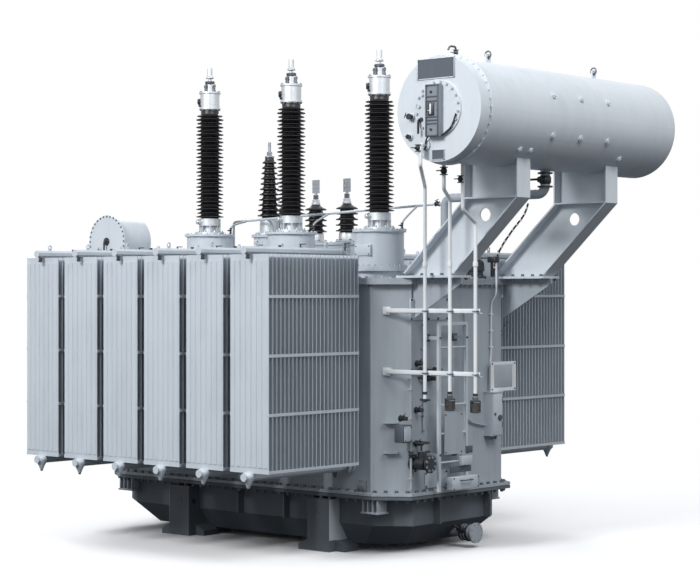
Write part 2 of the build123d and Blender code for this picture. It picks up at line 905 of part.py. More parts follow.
def make_bracket(y):
    """A leaning I beam on a pad, with a saddle on top cut to the round shell."""
    pad_top = cover_top + bracket_pad_thickness
    x0, x1 = bracket_foot_x, bracket_foot_x + bracket_span
    z0, z1 = pad_top, pad_top + bracket_rise - bracket_pad_thickness
    run = bracket_run
    margin = bracket_pad_margin
    width = bracket_flange_width
    plate = bracket_plate
    lean = math.atan2(z1 - z0, run)
    across = plate / math.sin(lean)
    pad = block(x0 - margin, x1 + margin, y - width / 2 - margin, y + width / 2 + margin,
                cover_top, pad_top)
    web = plate_xz([(x0, z0), (x1, z0), (x1 + run, z1), (x0 + run, z1)], y, plate)
    upper = plate_xz(
        [(x0, z0), (x0 + across, z0), (x0 + run + across, z1), (x0 + run, z1)], y, width)
    lower = plate_xz(
        [(x1 - across, z0), (x1, z0), (x1 + run, z1), (x1 + run - across, z1)], y, width)
    hole = drum_y(bracket_hole_radius, y - width, y + width, bracket_hole_x, bracket_hole_z)
    left, right = x0 + run, x1 + run
    deck = block(left, right, y - width / 2, y + width / 2, z1, z1 + plate)
    saddle_web = block(left, right, y - plate / 2, y + plate / 2, z1 + plate, conservator_z)
    inner_end = block(left, left + plate, y - width / 2, y + width / 2, z1, conservator_z)
    outer_end = block(right - plate, right, y - width / 2, y + width / 2, z1, conservator_z)
    whole = fuse([pad, web - hole, upper, lower, deck, saddle_web, inner_end, outer_end])
    shell = drum_y(conservator_radius, y - width, y + width, conservator_x, conservator_z)
    crown = block(
        conservator_x - 2 * conservator_radius, conservator_x + 2 * conservator_radius,
        y - width, y + width,
        conservator_z - conservator_radius * (1 - saddle_depth_share),
        conservator_z + conservator_radius,
    )
    return whole - shell - crown


def make_gussets():
    """Triangular plates under the overhanging pads, against the end wall."""
    gussets = []
    tip = bracket_foot_x + bracket_span + bracket_pad_margin
    wall = half_length
    for y in bracket_lines:
        top = cover_top
        reach = half_length + flange_reach
        low = tank_top - flange_thickness
        plate = plate_xz(
            [(reach, top), (tip, top), (tip, top - gusset_toe), (wall, top - gusset_depth),
             (wall, low), (reach, low)],
            y, bracket_plate,
        )
        gussets.append(plate)
    return gussets


# Pipes.

def make_riser():
    """The oil pipe from the cover to the underside of the conservator."""
    bottom = conservator_z - conservator_radius
    path = [
        (riser_x, 0, cover_top), (riser_x, 0, riser_top),
        (conservator_x, 0, riser_top), (conservator_x, 0, bottom),
    ]
    body = pipe(path, riser_radius, riser_bend)
    foot = drum_z(riser_flange_radius, cover_top, cover_top + riser_flange_thickness, riser_x, 0)
    relay0, relay1 = relay_x - relay_length / 2, relay_x + relay_length / 2
    room = block(relay0, relay1, -relay_width, relay_width,
                 riser_top - relay_height, riser_top + relay_height)
    flanges = [
        drum_x(riser_flange_radius, relay0 - riser_flange_thickness, relay0, 0, riser_top),
        drum_x(riser_flange_radius, relay1, relay1 + riser_flange_thickness, 0, riser_top),
    ]
    joined = fuse([body, foot, *flanges]) - room
    shell = drum_y(conservator_radius, -conservator_radius, conservator_radius,
                   conservator_x, conservator_z)
    return joined - shell


def make_relay():
    """The gas relay in the oil pipe: a cast box with a round head."""
    relay0, relay1 = relay_x - relay_length / 2, relay_x + relay_length / 2
    half = relay_width / 2
    body = block(relay0, relay1, -half, half, riser_top - half, riser_top + half)
    top = riser_top + half
    head = drum_z(relay_head_radius, top, top + relay_head_height, relay_x, 0)
    return body + head


def make_gas_pipe():
    """The thin gas collecting pipe that rises along the cover to the riser."""
    path = [
        (gas_pipe_start_x, 0, cover_top), (gas_pipe_start_x, 0, gas_pipe_start_level),
        (riser_x, 0, gas_pipe_end_level),
    ]
    body = pipe(path, gas_pipe_radius, gas_pipe_bend)
    return body - make_riser()


def service_paths():
    """The centre line of each service pipe, from its open lower end to the conservator."""
    y = service_line - service_rail_size / 2 - service_pipe_radius
    paths = []
    for x, low, level, rise, top in zip(
        service_pipe_places, service_pipe_bottoms, service_bend_levels, service_bend_rises,
        service_tops,
    ):
        paths.append([(x, y, low), (x, y, level), (top[0], top[1], level + rise), top])
    front = service_tops[0]
    paths[0].append((front[0], conservator_front, front[2]))
    return paths


def make_service_pipes():
    """Three pipes that drop from the conservator beside the end wall."""
    shell = drum_y(conservator_radius, conservator_front, 0, conservator_x, conservator_z)
    return [
        pipe(path, service_pipe_radius, service_bend) - shell for path in service_paths()
    ]


def make_breathers():
    """A small desiccant vessel at the foot of the second and third pipe."""
    breathers = []
    for path in service_paths()[1:]:
        x, y, low = path[0]
        breathers.append(drum_z(breather_radius, low - breather_height, low, x, y))
    return breathers


def make_service_rails():
    """Two horizontal bars from the cut corner of the tank that carry the pipes."""
    rails = []
    half = service_rail_size / 2
    wall = joint_outline(0)
    for level in service_rail_levels:
        bar = block(
            half_length - corner_cut_x, service_rail_end,
            service_line - half, service_line + half, level - half, level + half,
        )
        rails.append(bar - slab(wall, level - 2 * half, level + 2 * half))
    return rails


def make_ladder():
    """A plain ladder with two stiles, round rungs and feet on the end wall."""
    x = half_length + ladder_gap
    half = ladder_stile / 2
    low = joint_level + gasket_thickness + flange_thickness
    pieces = []
    for sign in (-1, 1):
        y = ladder_y + sign * ladder_width / 2
        pieces.append(block(x - half, x + half, y - half, y + half, low, ladder_top))
        for level in ladder_foot_levels:
            pieces.append(block(half_length, x, y - half, y + half, level - half, level + half))
    reach = ladder_width / 2
    rungs = int((ladder_top - low - half) // ladder_rung_pitch)
    for i in range(1, rungs + 1):
        level = low + i * ladder_rung_pitch
        pieces.append(drum_y(ladder_rung_radius, ladder_y - reach, ladder_y + reach, x, level))
    pieces.append(block(x - half, x + half, ladder_y - reach, ladder_y + reach,
                        ladder_top - ladder_stile, ladder_top))
    return fuse(pieces)


def make_ladder_guard():
    """The flat plate hung on the ladder to keep people off it."""
    x = half_length + ladder_gap + ladder_rung_radius
    half = ladder_guard_width / 2
    return block(
        x, x + ladder_guard_thickness, ladder_y - half, ladder_y + half,
        ladder_guard_bottom, ladder_guard_bottom + ladder_guard_height,
    )


def make_cabinet():
    """The narrow terminal box on the end wall."""
    return block(
        half_length, half_length + cabinet_depth,
        cabinet_y - cabinet_width / 2, cabinet_y + cabinet_width / 2,
        cabinet_bottom, cabinet_bottom + cabinet_height,
    )


def make_board():
    """A blank board in a raised frame, on two short arms from the end wall."""
    x = half_length + board_gap
    y0, y1 = board_y - board_width / 2, board_y + board_width / 2
    z0, z1 = board_level - board_height / 2, board_level + board_height / 2
    board = block(x, x + board_thickness, y0, y1, z0, z1)
    outer = block(x, x + 2 * board_thickness, y0, y1, z0, z1)
    room = block(x - OVERRUN, x + 2 * board_thickness + OVERRUN, y0 + board_frame, y1 - board_frame,
                 z0 + board_frame, z1 - board_frame)
    arms = []
    for level in (z0 + board_frame, z1 - board_frame):
        arms.append(block(half_length, x, y0 + board_frame, y0 + 2 * board_frame,
                          level - board_frame / 2, level + board_frame / 2))
    return fuse([board, outer - room, *arms])


def ring_of_holes(radius, circle, count, x0, x1, y, z):
    """Round bars along X on a bolt circle, ready to cut from a flange."""
    bars = []
    for i in range(count):
        angle = 2 * math.pi * (i + 1 / 2) / count
        bars.append(drum_x(
            radius, x0, x1,
            y + circle / 2 * math.cos(angle), z + circle / 2 * math.sin(angle),
        ))
    return bars


def make_drain():
    """The drain valve at the tray's foot: pipe, round body and a drilled end flange."""
    start = half_length - tray_inset_x - tray_slope_x
    end = drain_end_x
    body0 = end - drain_body_gap - drain_body_length
    body1 = end - drain_body_gap
    pieces = [
        drum_x(drain_pipe_radius, start, end, drain_y, drain_level),
        drum_x(drain_body_radius, body0, body1, drain_y, drain_level),
        drum_x(drain_flange_radius, end - drain_flange_thickness, end, drain_y, drain_level),
    ]
    whole = fuse(pieces) - make_tray()
    for bar in ring_of_holes(
        drain_bolt_radius, drain_bolt_circle, drain_bolt_count,
        end - 2 * drain_flange_thickness, end + OVERRUN, drain_y, drain_level,
    ):
        whole = whole - bar
    return whole


def make_filter_valve():
    """The filter valve low on the end wall: pipe, round body, bonnet and blank end flange."""
    end = half_length + filter_pipe_length
    body_x = half_length + filter_pipe_length / 2
    bonnet_top = filter_level + filter_body_radius + filter_bonnet_height
    pieces = [
        drum_x(filter_pipe_radius, half_length, end, filter_y, filter_level),
        drum_x(filter_body_radius, body_x - filter_body_radius, body_x + filter_body_radius,
               filter_y, filter_level),
        drum_z(filter_bonnet_radius, filter_level, bonnet_top, body_x, filter_y),
        drum_x(filter_flange_radius, end, end + filter_flange_thickness, filter_y, filter_level),
        drum_x(filter_flange_radius, half_length, half_length + filter_flange_thickness,
               filter_y, filter_level),
    ]
    return fuse(pieces)


def make_handwheel():
    """The filter valve's stem and its wheel with an eight-sided rim, a hub and flat spokes."""
    body_x = half_length + filter_pipe_length / 2
    low = filter_level + filter_body_radius + filter_bonnet_height
    turn = 360 / wheel_spoke_count
    half = wheel_spoke_width / 2
    spoke = block(0, wheel_radius, -half, half, -half, half)
    wheel = Rot(0, 0, turn / 2) * drum_z(wheel_hub_radius, -wheel_rim_radius, wheel_rim_radius)
    for i in range(wheel_spoke_count):
        wheel = wheel + Rot(0, 0, i * turn) * spoke
    section = Plane.XZ * Pos(wheel_radius, 0) * RegularPolygon(wheel_rim_radius, wheel_rim_sides)
    wheel = wheel + Rot(0, 0, turn / 2) * revolve(section, Axis.Z)
    wheel = wheel + Rot(0, 0, turn / 2) * drum_z(wheel_stem_radius, -wheel_stem, 0)
    return Pos(body_x, filter_y, low + wheel_stem) * wheel


# Small oil vessel.

def make_vessel():
    """A short oil vessel along Y with a bolted front cover and a shallow dished back."""
    r = vessel_radius
    front = vessel_front
    lip = front + vessel_flange_thickness
    flange = r + vessel_flange_reach
    back = front + vessel_length - vessel_dome
    tip = front + vessel_length
    sphere = (r * r + vessel_dome ** 2) / (2 * vessel_dome)
    half_angle = math.asin(r / sphere) / 2
    mid = (sphere * math.sin(half_angle), tip - sphere + sphere * math.cos(half_angle))
    edges = [
        Line((0, front), (flange, front)), Line((flange, front), (flange, lip)),
        Line((flange, lip), (r, lip)), Line((r, lip), (r, back)),
        ThreePointArc((r, back), mid, (0, tip)), Line((0, tip), (0, front)),
    ]
    body = revolve(make_face(Wire(edges)), Axis.Y)
    return Pos(vessel_x, 0, vessel_level) * body


def make_vessel_cradle():
    """Two box arms on the cover, each with an upright plate cut to the vessel."""
    cradle = []
    for y in vessel_arm_lines:
        half = vessel_arm_width / 2
        arm = block(
            vessel_x - vessel_saddle_width / 2, vessel_x + vessel_arm_reach,
            y - half, y + half, cover_top, cover_top + vessel_arm_height,
        )
        plate = block(
            vessel_x - vessel_saddle_width / 2, vessel_x + vessel_saddle_width / 2,
            y - bracket_plate / 2, y + bracket_plate / 2,
            cover_top + vessel_arm_height, vessel_level,
        )
        shell = drum_y(vessel_radius, y - half, y + half, vessel_x, vessel_level)
        cradle.append(arm + (plate - shell))
    return cradle


def make_vessel_pipe():
    """The oil pipe from the cover to the underside of the vessel."""
    y = sum(vessel_arm_lines) / 2
    body = drum_z(vessel_pipe_radius, cover_top, vessel_level, vessel_pipe_x, y)
    return body - drum_y(vessel_radius, vessel_front, 0, vessel_x, vessel_level)


# Everything together.

def place(shape, places):
    """Copies of one shape at places in plan."""
    return [Pos(x, y, 0) * shape for x, y in places]


def mirrored(shapes):
    """The same shapes on the other side of the tank."""
    return [mirror(shape, about=Plane.XZ) for shape in shapes]


def make_all():
    """Every piece under its own name."""
    radiators = make_radiators()
    straps = make_straps()
    pipes = make_radiator_pipes()
    hv = hv_places()
    lv = lv_places()
    neutral = [(neutral_x, neutral_y)]
    turret_top = turret(
        hv_turret_radius, hv_turret_neck_radius, hv_turret_rim_radius, hv_turret_top
    )
    nodes = {
        "tank": make_tank(),
        "tank_cover": make_cover(),
        "lower_tray": make_tray(),
        "tray_gasket": make_gasket(),
        "cradle_beams": make_cradles(),
        "radiator_straps_front": Compound(children=straps),
        "radiator_straps_back": Compound(children=mirrored(straps)),
        "radiator_pipes_front": Compound(children=pipes),
        "radiator_pipes_back": Compound(children=mirrored(pipes)),
        "lv_turret_box": make_lv_box(),
        "neutral_turret": place(make_neutral_turret(), neutral)[0],
        "neutral_bushing_foot": place(make_neutral_foot(), neutral)[0],
        "neutral_insulator": place(make_neutral_insulator(), neutral)[0],
        "neutral_terminal": place(make_neutral_stud(), neutral)[0],
        "conservator": make_conservator(),
        "conservator_end_cap": make_end_cap(),
        "conservator_manhole_cover": make_manhole(),
        "oil_level_gauge": make_level_gauge(),
        "conservator_blank_plates": Compound(children=make_end_plates()),
        "bracket_front": make_bracket(bracket_lines[0]),
        "bracket_back": make_bracket(bracket_lines[1]),
        "bracket_gussets": Compound(children=make_gussets()),
        "oil_riser": make_riser(),
        "gas_relay": make_relay(),
        "gas_pipe": make_gas_pipe(),
        "service_pipes": Compound(children=make_service_pipes()),
        "breathers": Compound(children=make_breathers()),
        "service_rails": Compound(children=make_service_rails()),
        "ladder": make_ladder(),
        "ladder_guard": make_ladder_guard(),
        "terminal_box": make_cabinet(),
        "blank_board": make_board(),
        "drain_pipe": make_drain(),
        "filter_valve": make_filter_valve(),
        "filter_handwheel": make_handwheel(),
        "oil_vessel": make_vessel(),
        "oil_vessel_cradle": Compound(children=make_vessel_cradle()),
        "oil_vessel_pipe": make_vessel_pipe(),
    }
    nodes["hv_turrets"] = Compound(children=place(turret_top, hv))
    nodes["hv_bushing_feet"] = Compound(children=place(make_hv_foot(), hv))
    nodes["hv_insulators"] = Compound(children=place(make_hv_insulator(), hv))
    nodes["hv_terminals"] = Compound(children=place(make_hv_terminal(), hv))
    nodes["lv_insulators"] = Compound(children=place(make_lv_insulator(), lv))
    nodes["lv_terminals"] = Compound(children=place(make_lv_terminal(), lv))
    nodes["radiators_front"] = Compound(children=radiators)
    nodes["radiators_back"] = Compound(children=mirrored(radiators))
    return nodes


def main():
    """Write one file for each piece."""
    os.makedirs(OUT, exist_ok=True)
    for name, shape in make_all().items():
        export_step(Pos(-frame_shift, 0, 0) * shape, os.path.join(OUT, f"{name}.step"))
        volume = sum(solid.volume for solid in shape.solids()) / MM3_PER_M3
        print(name, len(shape.solids()), f"{volume:.4f} m3")


main()
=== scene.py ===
# %% [markdown]
# A power transformer in the open air
#
# The machine is a steel tank full of oil. Two rows of radiators cool the oil, three tall black
# bushings bring the high voltage in, and a long drum, the conservator, gives the warm oil room to
# swell. The solid pieces come ready made and in their right place. This lesson lights them, gives
# each one the finish of the real thing, and adds the small parts that a maker bolts on last.

# %% Load the solid pieces
import json
import math
from itertools import product

import bmesh
import bpy
from mathutils import Matrix, Vector


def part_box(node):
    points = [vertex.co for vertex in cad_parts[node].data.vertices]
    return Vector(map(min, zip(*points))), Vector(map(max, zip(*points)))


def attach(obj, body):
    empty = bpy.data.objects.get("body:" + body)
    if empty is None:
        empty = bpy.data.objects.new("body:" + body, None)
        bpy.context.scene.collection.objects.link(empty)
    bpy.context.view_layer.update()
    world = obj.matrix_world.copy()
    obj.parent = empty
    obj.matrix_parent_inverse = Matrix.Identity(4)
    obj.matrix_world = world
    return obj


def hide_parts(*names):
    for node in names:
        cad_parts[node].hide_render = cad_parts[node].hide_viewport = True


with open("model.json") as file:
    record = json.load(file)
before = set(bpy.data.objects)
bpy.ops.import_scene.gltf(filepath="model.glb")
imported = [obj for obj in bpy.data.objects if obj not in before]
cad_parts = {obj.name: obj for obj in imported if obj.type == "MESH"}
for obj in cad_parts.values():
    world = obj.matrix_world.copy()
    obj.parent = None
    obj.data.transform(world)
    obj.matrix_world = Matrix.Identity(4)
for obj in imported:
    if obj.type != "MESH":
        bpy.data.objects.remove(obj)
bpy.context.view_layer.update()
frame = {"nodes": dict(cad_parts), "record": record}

nodes = frame["nodes"]

# %% [markdown]
# The camera stands where the photographer stood: 14 m out along the tank, 16 m to its side and at
# eye height. A lens of 98 mm keeps the upright edges upright because the camera looks level. The
# small shift moves the picture and not the camera, as the shift of a view camera does.

# %% Camera
CAMERA_PLACE = (14.063, -16.189, 2.721)
CAMERA_TURN = math.radians(40.82)
LENS = 98.44
SHIFT_UP = 0.0139

lens = bpy.data.cameras.new("photo_lens")
lens.lens = LENS
lens.sensor_width = 36.0
lens.sensor_fit = "HORIZONTAL"
lens.shift_y = SHIFT_UP
lens.clip_end = 200.0
camera = bpy.data.objects.new("photo_camera", lens)
camera.location = CAMERA_PLACE
camera.rotation_euler = (math.pi / 2, 0.0, CAMERA_TURN)
bpy.context.scene.collection.objects.link(camera)
bpy.context.scene.camera = camera
bpy.context.scene.view_settings.view_transform = "Standard"
print("camera", CAMERA_PLACE, "lens", LENS)

# %% [markdown]
# Two small helpers do the groundwork for materials. A colour is picked on a screen, so it is
# an sRGB value, and one function turns it to the linear light that the renderer counts in. The
# other function adds a node, sets its values and joins its inputs in one line.

# %% Helpers for materials
def linear(hex_colour):
    """The linear RGBA of an sRGB colour such as '8FA0AC'."""
    parts = [int(hex_colour[i:i + 2], 16) / 255 for i in (0, 2, 4)]
    bent = [c / 12.92 if c <= 0.04045 else ((c + 0.055) / 1.055) ** 2.4 for c in parts]
    return (*bent, 1.0)


def add_node(tree, kind, values=(), links=(), **settings):
    """A node of one kind, with its settings, its input values and its incoming links."""
    node = tree.nodes.new(kind)
    for name, value in settings.items():
        setattr(node, name, value)
    for socket, value in dict(values).items():
        node.inputs[socket].default_value = value
    for socket, source in dict(links).items():
        tree.links.new(source, node.inputs[socket])
    return node


# %% [markdown]
# Every finish on the machine is made of the same few steps: a pattern that starts from the place on
# the piece, two tones mixed by it, a gloss drawn out from it, and a shallow relief. Each step is
# one function.

# %% Steps of a finish
def surface(name):
    """A new material, its empty node tree and the place on the piece."""
    material = bpy.data.materials.new(name)
    material.use_nodes = True
    tree = material.node_tree
    tree.nodes.clear()
    return material, tree, add_node(tree, "ShaderNodeTexCoord").outputs["Object"]


def pattern(tree, kind, where, scale, **values):
    """A noise or cell pattern. The scale counts its features in a metre."""
    return add_node(tree, kind, {"Scale": scale, **values}, {"Vector": where}).outputs[0]


def product_of(tree, one, other):
    """Two patterns multiplied."""
    both = {0: one, 1: other}
    return add_node(tree, "ShaderNodeMath", links=both, operation="MULTIPLY").outputs[0]


def mixed(tree, amount, first_hex, second_hex):
    """Two tones mixed by a pattern."""
    tones = {"Color1": linear(first_hex), "Color2": linear(second_hex)}
    return add_node(tree, "ShaderNodeMixRGB", tones, {"Fac": amount}).outputs[0]


def spread(tree, amount, low, high, start=0.0, stop=1.0):
    """A pattern's values from start to stop, drawn out from low to high."""
    ends = {"From Min": start, "From Max": stop, "To Min": low, "To Max": high}
    return add_node(tree, "ShaderNodeMapRange", ends, {"Value": amount}).outputs[0]


def bumps(tree, height, strength, distance):
    """A relief whose highest point stands out by the distance, in metres."""
    sizes = {"Strength": strength, "Distance": distance}
    return add_node(tree, "ShaderNodeBump", sizes, {"Height": height}).outputs[0]


def shaded(tree, values, links):
    """The shader that closes a finish."""
    shade = add_node(tree, "ShaderNodeBsdfPrincipled", values, links)
    add_node(tree, "ShaderNodeOutputMaterial", links={"Surface": shade.outputs[0]})


NOISE, CELLS = "ShaderNodeTexNoise", "ShaderNodeTexVoronoi"
print("patterns", NOISE, CELLS)

# %% [markdown]
# A pale floor, a white surround and broad soft lamps stand in for a bright overcast sky. The
# surround is white only where the camera or a mirror looks at it. The light that falls on the
# machine is weaker, so that a grey paint stays the grey that it was mixed to.

# %% Surround
SKY_LIGHT = 0.52

world = bpy.data.worlds.new("studio")
bpy.context.scene.world = world
world.use_nodes = True
sky = world.node_tree
sky.nodes.clear()
seen = add_node(sky, "ShaderNodeLightPath")
mirror_or_eye = add_node(
    sky, "ShaderNodeMath", operation="MAXIMUM",
    links={0: seen.outputs["Is Camera Ray"], 1: seen.outputs["Is Glossy Ray"]},
)
clear_view = add_node(
    sky, "ShaderNodeMath", operation="MAXIMUM",
    links={0: mirror_or_eye.outputs[0], 1: seen.outputs["Is Transmission Ray"]},
)
daylight = add_node(sky, "ShaderNodeBackground", {"Color": linear("EEF3F8"), "Strength": SKY_LIGHT})
paper = add_node(sky, "ShaderNodeBackground", {"Color": linear("FFFFFF"), "Strength": 1.0})
chosen = add_node(
    sky, "ShaderNodeMixShader",
    links={0: clear_view.outputs[0], 1: daylight.outputs[0], 2: paper.outputs[0]},
)
add_node(sky, "ShaderNodeOutputWorld", links={"Surface": chosen.outputs[0]})
print("sky light", SKY_LIGHT)

# %% [markdown]
# The floor works in the same way: it looks pale to the camera, but throws back only as much light
# as wet concrete, so that undersides stay dark. Further out it fades to the white of the surround,
# and the shadow under the machine is kept.

# %% Floor
FLOOR_SIZE = 60.0
CLEAR_FLOOR = (4.0, 9.0)

floor_mesh = bmesh.new()
bmesh.ops.create_grid(floor_mesh, x_segments=1, y_segments=1, size=FLOOR_SIZE / 2)
floor_data = bpy.data.meshes.new("studio_floor")
floor_mesh.to_mesh(floor_data)
floor_mesh.free()
floor = bpy.data.objects.new("studio_floor", floor_data)
bpy.context.scene.collection.objects.link(floor)

floor_paint, tree, where = surface("pale_floor")
by_eye = add_node(tree, "ShaderNodeLightPath").outputs["Is Camera Ray"]
tone = mixed(tree, by_eye, "3A3D40", "FDFDFE")
matt = add_node(tree, "ShaderNodeBsdfPrincipled", {"Roughness": 0.95}, {"Base Color": tone})
reach = add_node(tree, "ShaderNodeVectorMath", operation="LENGTH", links={0: where})
far_away = add_node(
    tree, "ShaderNodeMapRange", {"From Min": CLEAR_FLOOR[0], "From Max": CLEAR_FLOOR[1]},
    {"Value": reach.outputs["Value"]}, interpolation_type="SMOOTHSTEP",
)
far_and_seen = product_of(tree, far_away.outputs[0], by_eye)
white = add_node(tree, "ShaderNodeEmission", {"Color": linear("FFFFFF"), "Strength": 1.0})
blend = add_node(
    tree, "ShaderNodeMixShader", links={0: far_and_seen, 1: matt.outputs[0], 2: white.outputs[0]},
)
add_node(tree, "ShaderNodeOutputMaterial", links={"Surface": blend.outputs[0]})
floor_data.materials.append(floor_paint)
print("floor", FLOOR_SIZE, "m wide")


# %% [markdown]
# Three broad square lamps light the machine. The key lamp hangs high on the viewer's side, one
# hangs beyond the ladder, and one behind draws light along the far edges. The larger a lamp, the
# softer its shadow.

# %% Lamps
LAMP_TARGET = Vector((0.0, 0.0, 2.5))


def soft_lamp(name, place, size, watts):
    """A square lamp that faces the middle of the machine."""
    light = bpy.data.lights.new(name, "AREA")
    light.energy = watts
    light.size = size
    lamp = bpy.data.objects.new(name, light)
    lamp.location = place
    lamp.rotation_euler = (LAMP_TARGET - Vector(place)).to_track_quat("-Z", "Y").to_euler()
    bpy.context.scene.collection.objects.link(lamp)


soft_lamp("key_lamp", (-1.0, -19.4, 13.9), 6.0, 3550.0)
soft_lamp("side_lamp", (12.2, -4.0, 13.8), 7.0, 1300.0)
soft_lamp("back_lamp", (-13.0, 14.0, 12.0), 8.0, 2200.0)

# %% [markdown]
# Most of the machine is steel under satin enamel, sprayed on. Up close such a skin has a fine
# orange peel, and after a season outdoors it has faint blotches and streaks where rain has run. The
# peel is 2 mm from crest to crest in truth, and is drawn at 7 mm so that it shows. One function
# mixes every paint on the machine, because they differ only in colour, gloss and dirt.

# %% Sprayed enamel
STREAK_WIDTH = 0.09
STREAK_LENGTH = 1.3
BLOTCH = 0.55
PEEL = 0.007


def enamel(name, hex_colour, dirt_hex, dirt, rough, peel=0.06):
    """Satin paint on steel, with rain streaks, faint blotches and orange peel."""
    paint, tree, where = surface(name)
    stretch = (1 / STREAK_WIDTH, 1 / STREAK_WIDTH, 1 / STREAK_LENGTH)
    tall = add_node(tree, "ShaderNodeMapping", {"Scale": stretch}, {"Vector": where}).outputs[0]
    streaks = pattern(tree, NOISE, tall, 1.0, Detail=3.0, Roughness=0.6)
    blotches = pattern(tree, NOISE, where, 1 / BLOTCH, Detail=4.0, Roughness=0.55)
    amount = spread(tree, product_of(tree, streaks, blotches), 0.0, dirt, 0.2, 0.42)
    skin = pattern(tree, NOISE, where, 1 / PEEL, Detail=1.0)
    shaded(tree, {"IOR": 1.5}, {
        "Base Color": mixed(tree, amount, hex_colour, dirt_hex),
        "Roughness": spread(tree, blotches, rough - 0.05, rough + 0.13, 0.3, 0.7),
        "Normal": bumps(tree, skin, peel, 0.001),
    })
    return paint


# In truth the tank, radiators and conservator share one pale grey paint. The darker tank grey is
# partly painted shade, and the paler conservator grey is partly painted light from above.
tank_enamel = enamel("satin_tank_enamel", "A9B1B9", "7E868E", 0.3, 0.42)
radiator_enamel = enamel("light_radiator_enamel", "C1C9D1", "989FA7", 0.22, 0.38)
conservator_enamel = enamel("pale_conservator_enamel", "CED5DC", "A0A8B1", 0.16, 0.38)
pipe_enamel = enamel("off_white_pipe_enamel", "E4E8EB", "A9B0B7", 0.22, 0.35)
# The base's dark grey is partly its own paint and partly painted shade, for the deep shade under
# the radiators.
base_enamel = enamel("dark_base_enamel", "5C646C", "686F76", 0.45, 0.6, 0.1)
valve_enamel = enamel("dark_valve_enamel", "262A30", "3E4349", 0.3, 0.4)
plate_enamel = enamel("slate_plate_enamel", "4B535D", "5A626B", 0.3, 0.5)
board_enamel = enamel("white_board_enamel", "E6E9EC", "B9BEC3", 0.2, 0.3)
print("enamels", [m.name for m in bpy.data.materials if "enamel" in m.name])

# %% [markdown]
# The tall insulators are porcelain under a near-black glaze. A fresh glaze shines like glass. Out
# of doors a film of dust soon dulls it to a soft sheen, and its colour pools a little darker in
# broad clouds. The clear plastic of gauges and breathers is a little scratched in clouds of the
# same size.

# %% Glaze and clear plastic
CLOUD = 0.12

porcelain, tree, where = surface("glazed_porcelain")
clouds = pattern(tree, NOISE, where, 1 / CLOUD, Detail=3.0)
shaded(tree, {"IOR": 1.5}, {
    "Base Color": mixed(tree, clouds, "08070A", "15131A"),
    "Roughness": spread(tree, clouds, 0.34, 0.5),
})

acrylic, tree, where = surface("clear_acrylic")
haze = pattern(tree, NOISE, where, 1 / CLOUD)
shaded(
    tree, {"Base Color": linear("F2F6F8"), "IOR": 1.49, "Transmission Weight": 1.0},
    {"Roughness": spread(tree, haze, 0.03, 0.12)},
)
print("smooth", porcelain.name, acrylic.name)

# %% [markdown]
# Bare metal comes in three kinds here. The heads and feet of the bushings are cast aluminium, matt
# and finely grained. Studs and the larger nuts are steel dipped in zinc, which sets in flat flakes
# of 10 to 20 mm, and small fastenings have dulled to a dark grey. A metal's own colour sits in its
# base colour, and its metallic value is one.

# %% Bare metals
CAST_GRAIN = 0.004
ZINC_FLAKE = 0.014
SOOT = 1 / 7


def bare_metal(name, light_hex, dark_hex, kind, size, rough):
    """A metal whose grain or flakes change its tone and its gloss a little."""
    metal, tree, where = surface(name)
    grain = pattern(tree, kind, where, 1 / size)
    amount = product_of(tree, grain, pattern(tree, NOISE, where, 1 / SOOT, Detail=5.0))
    shaded(tree, {"Metallic": 1.0}, {
        "Base Color": mixed(tree, amount, dark_hex, light_hex),
        "Roughness": spread(tree, amount, rough + 0.12, rough - 0.08),
        "Normal": bumps(tree, grain, 0.12, 0.0006),
    })
    return metal


cast_aluminium = bare_metal("cast_aluminium", "F0F2F4", "B9BFC5", NOISE, CAST_GRAIN, 0.46)
hot_dip_zinc = bare_metal("hot_dip_zinc", "D8DCE0", "8F979F", CELLS, ZINC_FLAKE, 0.42)
dull_steel = bare_metal("dull_steel", "8D949B", "565C63", NOISE, CAST_GRAIN, 0.5)
print("metals", cast_aluminium.name, hot_dip_zinc.name, dull_steel.name)

# %% [markdown]
# Four small finishes are left: the rubber of the long joint, the sheath of the cables, the grey
# plastic of the gauge, and the drying grains inside a breather. The grains are beads of 3 to 5 mm,
# drawn at 9 mm, as a cell pattern that gives each bead its own tone and a round bump.

# %% Small finishes
RUBBER_GRAIN = 0.006
BEAD = 0.009


def plain_stuff(name, light_hex, dark_hex, kind, size, rough, height):
    """Rubber, plastic or grains: two tones, one pattern and a relief of the same pattern."""
    stuff, tree, where = surface(name)
    grain = pattern(tree, kind, where, 1 / size)
    shaded(tree, {"IOR": 1.5, "Roughness": rough}, {
        "Base Color": mixed(tree, grain, dark_hex, light_hex),
        "Normal": bumps(tree, grain, 0.3, height),
    })
    return stuff


joint_rubber = plain_stuff("joint_rubber", "1C1D1F", "0C0D0E", NOISE, RUBBER_GRAIN, 0.7, 0.0008)
cable_sheath = plain_stuff("cable_sheath", "24272B", "121416", NOISE, RUBBER_GRAIN, 0.5, 0.0004)
gauge_plastic = plain_stuff("gauge_plastic", "8A929B", "757D86", NOISE, RUBBER_GRAIN, 0.4, 0.0002)
drying_grains = plain_stuff("drying_grains", "6A625C", "26221F", CELLS, BEAD, 0.55, 0.003)
print("finishes", len(bpy.data.materials))
